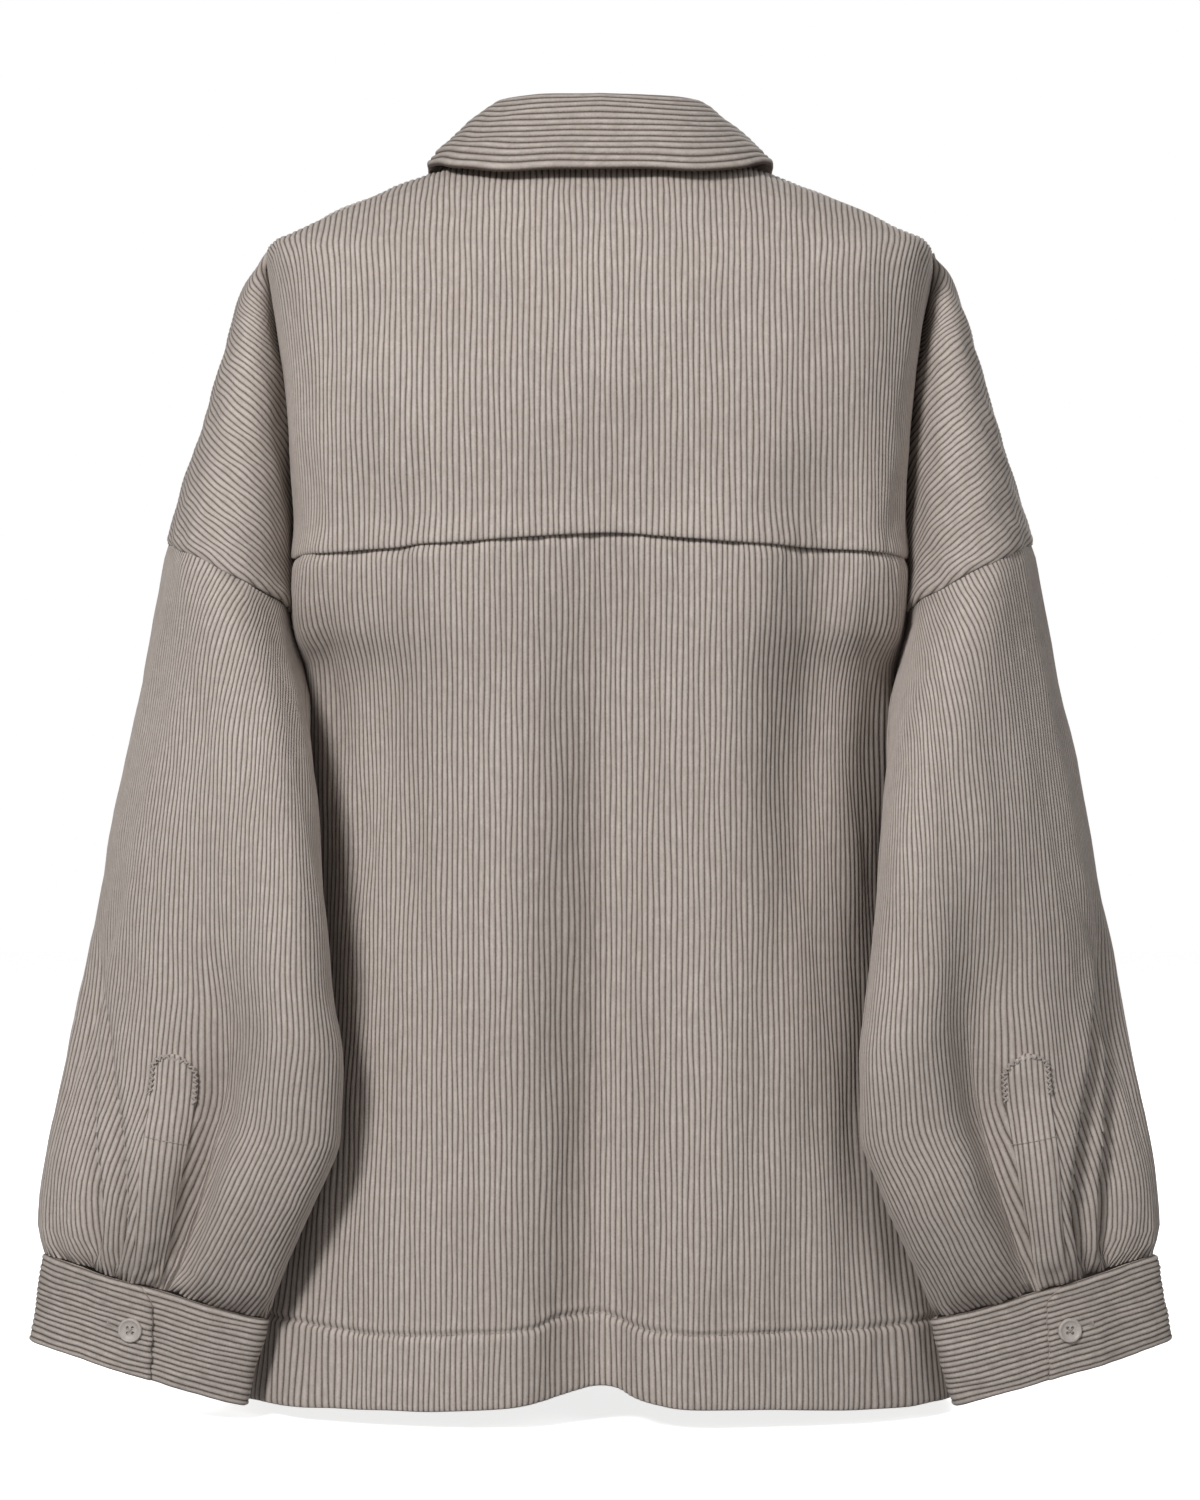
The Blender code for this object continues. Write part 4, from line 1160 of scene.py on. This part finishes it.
make_sleeve_placket(-1, "sleeve_placket_left")
make_sleeve_placket(1, "sleeve_placket_right")

# %% [markdown]
# ## The cuffs
#
# A cuff is a doubled band cut across the ribs, so they run around the wrist. It laps over
# its own end, and the end on top has a rounded corner.

# %% Make the cuffs
CUFF = Table("edge z outer_x inner_x centre_y deep lean slope dip open", [
    (0, -676.6, 338, 202, -68, 17, 11, 0.27, 0, 0),
    (1, -729, 346, 215, -66, 17, 11, 0.275, 0, 0),
])
CUFF_TAB_X, CUFF_UNDER_X = 268.0, 293.0
CUFF_LAP, CUFF_LAP_RUN = 1.9, 20.0
CUFF_RIBS, CUFF_COLUMNS, CUFF_HEIGHT, CUFF_HALF = 16, 150, 52.4, 1.5
CUFF_SEAM = 5.0
CORNER_SHARE, CORNER_CUT, TAB_SLANT, TAB_WAVER = 0.24, 9.0, 3.5, 0.5


def lap_share(distance):
    """Full at the cuff's end, fading to nothing once past the overlap."""
    return 1 - ease((distance - (CUFF_UNDER_X - CUFF_TAB_X + 4)) / CUFF_LAP_RUN)


def cuff_grid(side):
    """Points along the band from its top end to its under end, and their outward ways."""
    rows, outward_rows = [], []
    for edge in np.linspace(0, 1, 4 * CUFF_RIBS + 1):
        ring = ring_curve(CUFF.sizes(edge), 0, 360, 1441)
        half = len(ring) // 2
        corner = CORNER_CUT * max(0.0, 1 - edge / CORNER_SHARE) ** 2
        waver = TAB_WAVER * math.sin(edge * 5 * 2 * math.pi)
        tab_x = CUFF_TAB_X + TAB_SLANT * edge + corner + waver
        tab = 1 + np.argmin(np.abs(ring[1:half, 0] - tab_x))
        under = 1 + np.argmin(np.abs(ring[1:half, 0] - CUFF_UNDER_X))
        walk = np.concatenate([ring[:tab + 1][::-1], ring[under:-1][::-1]])
        length = travelled(walk)
        places = np.linspace(0, length[-1], CUFF_COLUMNS + 1)
        row = along(walk, length, places)
        tangent = np.gradient(row[:, :2], axis=0)
        tangent /= np.linalg.norm(tangent, axis=1)[:, None]
        outward = np.stack([tangent[:, 1], -tangent[:, 0], 0 * tangent[:, 0]], axis=1)
        shift = CUFF_LAP * (lap_share(places) - lap_share(places[-1] - places))
        rows.append(row + outward * shift[:, None])
        outward_rows.append(outward)
    points, outward = np.array(rows), np.array(outward_rows)
    points[..., 0] *= side
    outward[..., 0] *= side
    return points, outward


cuff_faces = {}


def make_cuff(side, name):
    cloth = Cloth(name + "_cloth")
    points, outward = cuff_grid(side)
    edge = np.linspace(0, 1, len(points))[:, None]
    ribs = edge * CUFF_RIBS
    from_edge = np.minimum(edge, 1 - edge) * CUFF_HEIGHT
    along_band = travelled_across(points)
    from_end = np.minimum(along_band, along_band[:, -1:] - along_band)
    relief = CUFF_HALF + RIB_RISE * rib_height(ribs) + rounded(from_edge, "cuff")
    relief = relief + rounded(from_end, "cuff_end") + seam(from_edge - CUFF_SEAM, "cuff")
    relief = relief + waves(points, "cuff", side)
    middle = points - outward * 5
    normals, _ = outward_normals(points, middle)
    cuff_faces[side] = (points + normals * (relief + 0.1)[..., None], normals)
    cloth.add(points, middle, relief, ribs, along_band * MM, thick=CUFF_HALF, skip=(4, 3))
    return cloth.finish(band_cloth,
                        [name])


make_cuff(-1, "cuff_left")
make_cuff(1, "cuff_right")

# %% [markdown]
# ## The collar
#
# The stand rises from the neck seam, and the leaf falls over it. Both are cut across the
# ribs. The leaf is led over the fold by a short table, and its edge hangs just above the
# shoulders, wherever they are.

# %% Make the collar
COLLAR = Table("angle fold_x fold_y fold_z edge_x edge_y edge_clear", [
    (0, 0, -54, 45, 0, -89, 18),
    (30, 34, -47, 45, 54, -86, 15),
    (60, 58, -27, 45, 94, -60, 9),
    (85, 66, -3, 40, 107, -20, 5),
    (105, 62, 16, 27, 107, 14, 4),
    (130, 48, 38, 3, 94, 52, 5),
    (155, 26, 55, -27, 80, 70, 6),
    (175, 6, 63, -44, 60, 84, 7),
])
COLLAR_FALL = Table("step fall rise out", [
    (0, 0.0, 0.0, 0.0), (1, 0.0, 2.2, 0.1), (2, 0.04, 4.2, 2.0), (3, 0.14, 4.6, 4.0),
    (4, 0.38, 3.6, 5.0), (5, 0.68, 2.0, 4.0), (6, 1.0, 0.0, 0.0)])
COLLAR_SEAM, STAND_SEAT, COLLAR_HALF = 0.9, 1.5, 1.2
LEAF_RIBS, STAND_RIBS = 14, 12
STAND_SUNK, COLLAR_ENDS, COLLAR_STEP, LEAF_SEAM = 2.2, 175, 2.5, 6.0


def neck_point(angle):
    """The neck seam at an angle around the neck: 0 at the back, 180 at the front."""
    face = "back" if angle <= 90 else "front"
    curve = body_curve(0, face)
    share = angle / 90 if angle <= 90 else (180 - angle) / 90
    length = travelled(curve)
    return along(curve, length, share * length[-1])


def collar_places(angle):
    """Where the neck seam, the fold and the leaf's edge are at an angle."""
    base = neck_point(angle)
    fold = np.array([COLLAR.read(f"fold_{axis}", angle) for axis in "xyz"])
    x, y = COLLAR.read("edge_x", angle), COLLAR.read("edge_y", angle)
    surface = bodies["back" if y < BODY.read("side_y", 0) else "front", 1]
    near = surface.points[:201].reshape(-1, 3)
    z = near[np.argmin((near[:, 0] - x) ** 2 + (near[:, 1] - y) ** 2), 2]
    return base, fold, np.array([x, y, z + COLLAR.read("edge_clear", angle)])


def collar_grids():
    """The stand from its seam to the fold, and the leaf from the fold to its edge."""
    steps = np.linspace(0, 6, 73)
    fall, rise, out = (COLLAR_FALL.read(name, steps)[:, None] for name in ("fall", "rise", "out"))
    stand, leaf = [], []
    angles = np.arange(-COLLAR_ENDS, COLLAR_ENDS + 0.1, COLLAR_STEP)
    places = [collar_places(abs(angle)) for angle in angles]
    heights = np.array([edge[2] for _, _, edge in places])
    padded = np.pad(heights, 6, mode="edge")
    even = np.convolve(padded, np.hanning(15)[1:-1] / np.hanning(15).sum(), mode="valid")
    for angle, (base, fold, edge), height in zip(angles, places, even):
        edge = np.array([edge[0], edge[1], height])
        upward = (fold - base) / np.linalg.norm(fold - base)
        away = (edge - fold) * np.array([1, 1, 0])
        away /= np.linalg.norm(away)
        mirror = np.array([math.copysign(1, angle), 1, 1])
        share = np.linspace(0, 1, 4 * STAND_RIBS + 1)[:, None]
        low, high = base + upward * (STAND_SEAT - STAND_SUNK), fold - upward * COLLAR_SEAM
        stand.append((low + (high - low) * share) * mirror)
        start = fold + upward * (COLLAR_SEAM + rise)
        path = start + (edge - start) * fall + away * out
        length = travelled(path)
        leaf.append(along(path, length, np.linspace(0, length[-1], 4 * LEAF_RIBS + 1)) * mirror)
    return np.array(stand).transpose(1, 0, 2), np.array(leaf).transpose(1, 0, 2)


def make_collar():
    stand_points, leaf_points = collar_grids()
    for name, points, count, nodes, flat in (
            ("collar_stand_cloth", stand_points, STAND_RIBS, "collar_stand", (0.43, 0.05)),
            ("collar_leaf_cloth", leaf_points, LEAF_RIBS, "collar_leaf", (0.56, 0.066))):
        cloth = Cloth(name)
        share = np.linspace(0, 1, len(points))[:, None]
        ribs = share * count
        edge = (1 - share) * count * BAND_RIB
        ends = travelled_across(points)
        ends = np.minimum(ends, ends[:, -1:] - ends)
        relief = COLLAR_HALF + RIB_RISE * rib_height(ribs) + 0 * points[..., 2]
        if "leaf" in name:
            relief = relief + rounded(edge, "leaf") + rounded(ends, "leaf")
            relief = relief + waves(points, "collar") * ease(edge / 20)
            relief = relief + seam(edge - LEAF_SEAM, "leaf")
        middle = points.copy()
        middle[..., :2] *= 0.3
        middle[..., 1] -= 3.0
        cloth.add(points, middle, relief, ribs, ends * MM, thick=COLLAR_HALF, skip=(4, 2))
        cloth.finish(band_cloth, [nodes])


make_collar()

# %% [markdown]
# ## Stitches
#
# A stitch is a short thick thread. One node tree puts a thread at every point of a path
# and turns it along a direction that each point carries. Running stitches, bars and the
# cross stitches on the strips are then only lists of places and directions.

# %% A node tree that sews
THREAD_COLOURS = ((0.22, 0.185, 0.165, 1.0), (0.50, 0.445, 0.41, 1.0))


def make_thread_material():
    material, tree, shader, place = new_material("sewing_thread", Roughness=0.8)
    twist = noise_node(tree, place, 2200.0, 2.0)
    link(tree, mix_node(tree, twist, *THREAD_COLOURS), shader.inputs["Base Color"])
    return material


def make_sewing_tree():
    tree = bpy.data.node_groups.new("sewing", "GeometryNodeTree")
    tree.interface.new_socket("Geometry", in_out="INPUT", socket_type="NodeSocketGeometry")
    for name, start in (("Stitch Length", 0.0026), ("Thread Radius", 0.0004)):
        made = tree.interface.new_socket(name, in_out="INPUT", socket_type="NodeSocketFloat")
        made.default_value = start
    tree.interface.new_socket("Thread", in_out="INPUT", socket_type="NodeSocketMaterial")
    tree.interface.new_socket("Geometry", in_out="OUTPUT", socket_type="NodeSocketGeometry")
    new = tree.nodes.new
    inside, out = new("NodeGroupInput"), new("NodeGroupOutput")
    way = new("GeometryNodeInputNamedAttribute")
    way.data_type = "FLOAT_VECTOR"
    way.inputs["Name"].default_value = "way"
    turn = new("FunctionNodeAlignRotationToVector")
    turn.axis = "Z"
    link(tree, way.outputs["Attribute"], turn.inputs["Vector"])
    ball = new("GeometryNodeMeshUVSphere")
    ball.inputs["Segments"].default_value = 6
    ball.inputs["Rings"].default_value = 5
    ball.inputs["Radius"].default_value = 1.0
    size = new("ShaderNodeCombineXYZ")
    link(tree, inside.outputs["Thread Radius"], size.inputs["X"])
    link(tree, inside.outputs["Thread Radius"], size.inputs["Y"])
    half_length = math_node(tree, "MULTIPLY", inside.outputs["Stitch Length"], 0.5)
    link(tree, half_length, size.inputs["Z"])
    shape = new("GeometryNodeTransform")
    link(tree, ball.outputs["Mesh"], shape.inputs["Geometry"])
    link(tree, size.outputs[0], shape.inputs["Scale"])
    sew = new("GeometryNodeInstanceOnPoints")
    link(tree, inside.outputs["Geometry"], sew.inputs["Points"])
    link(tree, shape.outputs["Geometry"], sew.inputs["Instance"])
    link(tree, turn.outputs["Rotation"], sew.inputs["Rotation"])
    real = new("GeometryNodeRealizeInstances")
    link(tree, sew.outputs["Instances"], real.inputs["Geometry"])
    paint = new("GeometryNodeSetMaterial")
    link(tree, real.outputs["Geometry"], paint.inputs["Geometry"])
    link(tree, inside.outputs["Thread"], paint.inputs["Material"])
    link(tree, paint.outputs["Geometry"], out.inputs["Geometry"])
    return tree


thread = make_thread_material()
sewing = make_sewing_tree()


def sew(name, places, ways, length, radius):
    """A thread at every place, lying along its way. Places are in millimetres."""
    mesh = bpy.data.meshes.new(name + "_places")
    mesh.from_pydata((np.asarray(places) * MM).tolist(), [], [])
    kept = mesh.attributes.new("way", "FLOAT_VECTOR", "POINT")
    kept.data.foreach_set("vector", np.asarray(ways, float).ravel())
    path = add_object(name + "_places", mesh)
    modifier = path.modifiers.new("sewing", "NODES")
    modifier.node_group = sewing
    sockets = {item.name: item.identifier for item in sewing.interface.items_tree
               if item.in_out == "INPUT"}
    modifier[sockets["Stitch Length"]] = length * MM
    modifier[sockets["Thread Radius"]] = radius * MM
    modifier[sockets["Thread"]] = thread
    seen = path.evaluated_get(bpy.context.evaluated_depsgraph_get())
    result = bpy.data.meshes.new_from_object(seen)
    result.name = name
    result.shade_smooth()
    bpy.data.objects.remove(path, do_unlink=True)
    made = add_object(name, result)
    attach(made, "root")
    print(f"{name}: {len(places)} stitches")
    return made


def running(path, normals, spacing):
    """Places and directions for stitches one behind the other along a path."""
    length = travelled(path)
    places = np.arange(spacing / 2, length[-1], spacing)
    at = along(path, length, places)
    return at, along(path, length, places + 0.5) - at, along(normals, length, places)


# %% Sew the strips and the hem
# Each kind: how far apart, how far off the cloth, how long and how thick, in mm.
CROSS, BAR, HEM = (1.7, 0.95, 4.6, 0.72), (2.2, 0.15, 1.9, 0.32), (3.2, 0.05, 2.6, 0.3)
CROSS_LEAN, ARCH_ROWS, BAR_ROW = 0.9, slice(1, 8), 13
WORDS = {-1: "left", 1: "right"}


def sew_line(name, face, normals, kind):
    """Running stitches of one kind along a line of the cloth."""
    spacing, off, length, radius = kind
    at, ways, out = running(face, normals, spacing)
    sew(name, at + out * off, ways, length, radius)


def sew_arch(name, face, normals):
    """Stitches that cross each other around the arch of a strip."""
    spacing, off, length, radius = CROSS
    rim, rim_normals = (np.concatenate([grid[ARCH_ROWS, 1][::-1], grid[ARCH_ROWS, -2]])
                        for grid in (face, normals))
    places, ways = [], []
    for k, (place, tangent, normal) in enumerate(zip(*running(rim, rim_normals, spacing))):
        tangent = tangent / np.linalg.norm(tangent)
        places.append(place + normal * off)
        ways.append(np.cross(normal, tangent) + tangent * (CROSS_LEAN if k % 2 else -CROSS_LEAN))
    sew(name, places, ways, length, radius)


for side, word in WORDS.items():
    face, normals = strip_edges[side]
    sew_arch(f"cross_stitches_{word}", face, normals)
    sew_line(f"bar_stitches_{word}", face[BAR_ROW], normals[BAR_ROW], BAR)

for word, (face, normals) in hem_faces.items():
    sew_line(f"hem_stitches_{word}", face, normals, HEM)

# %% [markdown]
# ## Buttonholes and buttons
#
# A buttonhole is a slit bound with close stitches. A shirt button is a turned disc with a
# raised rim, a dished middle and four holes, through which the thread crosses.

# %% Bind the buttonholes
BUTTON_RADIUS, BUTTON_THICK, BUTTON_SEAT = 7.4, 2.8, 0.3
CUFF_BUTTON_X = 283.0
HOLE_LONG, HOLE_HALF, HOLE_PAST_BUTTON, HOLE_STITCHES = 15.0, 1.1, 7.5, 60


def cuff_spot(side, x):
    """A point half way up the cuff's outer face, its outward way and the way along the band."""
    face, normals = cuff_faces[side]
    row = int(round(0.5 * (len(face) - 1)))
    near = slice(0, face.shape[1] // 3)
    xs = np.abs(face[row, near, 0])
    order = np.argsort(xs)
    line = face[row, near][order]
    place, ahead = along(line, xs[order], x), along(line, xs[order], x + 1)
    normal = along(normals[row, near][order], xs[order], x)
    normal[2] = 0.0
    return place, normal / np.linalg.norm(normal), (ahead - place) / np.linalg.norm(ahead - place)


def buttonhole(side):
    """Places and directions for close stitches around a slit."""
    centre, normal, ahead = cuff_spot(side, CUFF_BUTTON_X + HOLE_PAST_BUTTON)
    up = np.cross(normal, ahead)
    places, ways = [], []
    for angle in np.linspace(0, 2 * np.pi, HOLE_STITCHES, endpoint=False):
        x = np.clip(math.cos(angle) * (HOLE_LONG / 2 + 1.5), -HOLE_LONG / 2, HOLE_LONG / 2)
        y = math.sin(angle) * HOLE_HALF
        places.append(centre + ahead * x + up * y + normal * 0.35)
        ways.append(up if abs(x) < HOLE_LONG / 2 - 0.1 else ahead * 0.3 + up)
    return places, ways


for side, word in WORDS.items():
    sew(f"buttonhole_{word}", *buttonhole(side), 2.1, 0.34)

# %% Turn one button
BUTTON_PROFILE = ((0.80, 0.0), (0.96, 0.10), (1.0, 0.34), (1.0, 0.62), (0.97, 0.86), (0.90, 0.99),
                  (0.82, 0.98), (0.75, 0.84), (0.68, 0.66), (0.4, 0.58), (0.0, 0.56))
BUTTON_SEGMENTS = 56
DRILL_PROFILE, DRILL_SEGMENTS = ((1.0, -1.0), (1.0, 2.0), (0.0, 2.0)), 14
DRILL_RADIUS, DRILL_OFF = 0.98, 1.55
SHELL_COLOURS = ((0.36, 0.32, 0.29, 1.0), (0.50, 0.45, 0.415, 1.0))


def make_button_material():
    material, tree, shader, place = new_material("button_shell")
    clouds = noise_node(tree, place, 260.0, 4.0)
    scratch = noise_node(tree, place, 1500.0, 3.0)
    rough = math_node(tree, "ADD", math_node(tree, "MULTIPLY", scratch, 0.25), 0.32)
    link(tree, mix_node(tree, clouds, *SHELL_COLOURS), shader.inputs["Base Color"])
    link(tree, rough, shader.inputs["Roughness"])
    raise_surface(tree, shader, scratch, 0.25, 0.0002)
    return material


def lathe(profile, segments, radius, thick):
    """A body turned from a profile, whose shares are of its radius and of its thickness."""
    points, faces = [(0.0, 0.0, 0.0)], []
    for share, height in profile[:-1]:
        for k in range(segments):
            angle = 2 * math.pi * k / segments
            points.append((share * radius * math.cos(angle), share * radius * math.sin(angle),
                           height * thick))
    points.append((0.0, 0.0, profile[-1][1] * thick))
    rings = len(profile) - 1
    for k in range(segments):
        after = (k + 1) % segments
        faces.append((0, 1 + after, 1 + k))
        for ring in range(rings - 1):
            a, b = 1 + ring * segments + k, 1 + ring * segments + after
            faces.append((a, b, b + segments, a + segments))
        last = 1 + (rings - 1) * segments
        faces.append((last + k, last + after, len(points) - 1))
    mesh = bpy.data.meshes.new("turned")
    mesh.from_pydata([tuple(v * MM for v in point) for point in points], [], faces)
    return add_object("turned", mesh)


def drilled_button():
    """The turned disc with four holes cut through it, as a plain mesh."""
    blank = lathe(BUTTON_PROFILE, BUTTON_SEGMENTS, BUTTON_RADIUS, BUTTON_THICK)
    drills = []
    for x in (-DRILL_OFF, DRILL_OFF):
        for y in (-DRILL_OFF, DRILL_OFF):
            drill = lathe(DRILL_PROFILE, DRILL_SEGMENTS, DRILL_RADIUS, BUTTON_THICK)
            for vertex in drill.data.vertices:
                vertex.co.x += x * MM
                vertex.co.y += y * MM
            drill.data.vertices[0].co.z = -BUTTON_THICK * MM
            cut = blank.modifiers.new("hole", "BOOLEAN")
            cut.operation = "DIFFERENCE"
            cut.object = drill
            cut.solver = "EXACT"
            drills.append(drill)
    seen = blank.evaluated_get(bpy.context.evaluated_depsgraph_get())
    mesh = bpy.data.meshes.new_from_object(seen)
    for made in [blank, *drills]:
        bpy.data.objects.remove(made, do_unlink=True)
    return mesh


button_paint = make_button_material()
button_mesh = drilled_button()
print("button:", len(button_mesh.polygons), "faces")

# %% Sew the buttons on
# Each thread over a button: how it leans, and how high it lies as a share of the thickness.
THREADS = ((1.0, 0.74), (-1.0, 0.84))
FRONT_BUTTON_HEIGHTS = (-96, -204, -312, -420, -528, -636)
places, ways = [], []


def place_button(node, seat, normal, up):
    """A copy of the button with its back on the seat. Its threads go on the list."""
    normal = normal / np.linalg.norm(normal)
    up = up - normal * (up @ normal)
    up /= np.linalg.norm(up)
    aside = np.cross(up, normal)
    turn = np.stack([aside, up, normal], axis=1)
    mesh = button_mesh.copy()
    mesh.name = node + "_turned"
    flat = np.array([tuple(vertex.co) for vertex in button_mesh.vertices])
    moved = flat @ turn.T + seat * MM
    mesh.vertices.foreach_set("co", moved.ravel())
    mesh.materials.clear()
    mesh.materials.append(button_paint)
    mesh.shade_smooth()
    mesh.set_sharp_from_angle(angle=math.radians(40))
    made = add_object(node + "_turned", mesh)
    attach(made, "root")
    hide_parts(node)
    for lean, lift in THREADS:
        places.append(seat + normal * lift * BUTTON_THICK)
        ways.append(up + aside * lean)


for side, word in WORDS.items():
    spot, normal, _ = cuff_spot(side, CUFF_BUTTON_X)
    place_button("cuff_button_" + word, spot + normal * BUTTON_SEAT, normal, np.array([0, 0, 1.0]))

front_line = bodies["front", 1].at(np.linspace(0, LAST_ROW, 1200), 0.0)
for number, height in enumerate(FRONT_BUTTON_HEIGHTS, 1):
    at = int(np.argmin(np.abs(front_line[:, 2] - height)))
    tangent = front_line[at - 3] - front_line[at + 3]
    normal = np.cross([-1.0, 0.0, 0.0], -tangent)
    normal = normal if normal[1] > 0 else -normal
    normal = normal / np.linalg.norm(normal)
    seat = front_line[at] + normal * (STRIP_LIFT + RIB_RISE + BUTTON_SEAT)
    place_button(f"front_button_{number}", seat, normal, tangent)
sew("button_threads", places, ways, 5.0, 0.34)

# %% [markdown]
# ## Light, floor and camera
#
# The photo was taken in soft light on a white ground. Seen from the camera, the key light
# stands in front on the left and a weak one on the right. A third lights the buttoned side.
# The camera stands 2.6 m from the garment's back, level with its middle.

# %% Floor, light and camera
FLOOR_Z, FLOOR_HALF = -0.757, 6.0
FLOOR_GLOW = 0.79
SURROUND_LIGHT = 0.20
CAMERA_AWAY = 2.6
BACK_PLANE_Y = -0.10
VIEW_WIDTH = 0.72
VIEW_MIDDLE_Z = -0.351
SENSOR = 36.0
WHITE = (1.0, 1.0, 1.0, 1.0)
LIGHT_AIM = (0.0, 0.0, -0.35)
# Each light: its name, its place and its size in metres, and its power in watts.
LIGHTS = (
    ("key_soft", (-1.1, -2.5, 1.0), 0.6, 68.0),
    ("fill_soft", (1.5, -2.4, 0.6), 1.4, 14.0),
    ("front_soft", (0.9, 2.6, 0.9), 1.4, 50.0),
)


def make_floor():
    """A pale floor that glows a little, but sends no light back to the garment."""
    mesh = bpy.data.meshes.new("floor")
    turns = ((-1, -1), (1, -1), (1, 1), (-1, 1))
    corners = [(x * FLOOR_HALF, y * FLOOR_HALF, FLOOR_Z) for x, y in turns]
    mesh.from_pydata(corners, [], [(0, 1, 2, 3)])
    floor = add_object("floor", mesh)
    paint, *_ = new_material("floor_paint", Base_Color=(0.93, 0.93, 0.93, 1.0), Roughness=0.9,
                             Emission_Color=WHITE, Emission_Strength=FLOOR_GLOW)
    mesh.materials.append(paint)
    floor.visible_diffuse = False


def make_world():
    """A white surround for the camera, and a weaker one for the light it gives."""
    world = bpy.data.worlds.new("studio")
    bpy.context.scene.world = world
    world.use_nodes = True
    tree = world.node_tree
    path = tree.nodes.new("ShaderNodeLightPath")
    strength = math_node(tree, "ADD", math_node(
        tree, "MULTIPLY", path.outputs["Is Camera Ray"], 1.0 - SURROUND_LIGHT), SURROUND_LIGHT)
    background = tree.nodes["Background"]
    background.inputs["Color"].default_value = WHITE
    link(tree, strength, background.inputs["Strength"])


def add_light(name, place, size, power):
    """A square area light turned towards the garment."""
    light = bpy.data.lights.new(name, "AREA")
    light.shape = "RECTANGLE"
    light.size = light.size_y = size
    light.energy = power
    lamp = add_object(name, light)
    lamp.location = place
    way = np.array(LIGHT_AIM) - np.array(place)
    flat = math.hypot(way[0], way[1])
    lamp.rotation_euler = (math.atan2(flat, -way[2]), 0.0, math.atan2(-way[0], way[1]))


def make_camera():
    lens = bpy.data.cameras.new("camera")
    lens.sensor_fit = "HORIZONTAL"
    lens.sensor_width = SENSOR
    lens.lens = SENSOR * CAMERA_AWAY / VIEW_WIDTH
    lens.clip_end = 30.0
    camera = add_object("camera", lens)
    camera.location = (0.0, BACK_PLANE_Y - CAMERA_AWAY, VIEW_MIDDLE_Z)
    camera.rotation_euler = (math.pi / 2, 0.0, 0.0)
    bpy.context.scene.camera = camera


make_floor()
make_camera()
make_world()
bpy.context.scene.view_settings.view_transform = "Standard"
for light in LIGHTS:
    add_light(*light)
print("camera lens:", round(bpy.context.scene.camera.data.lens, 1), "mm")
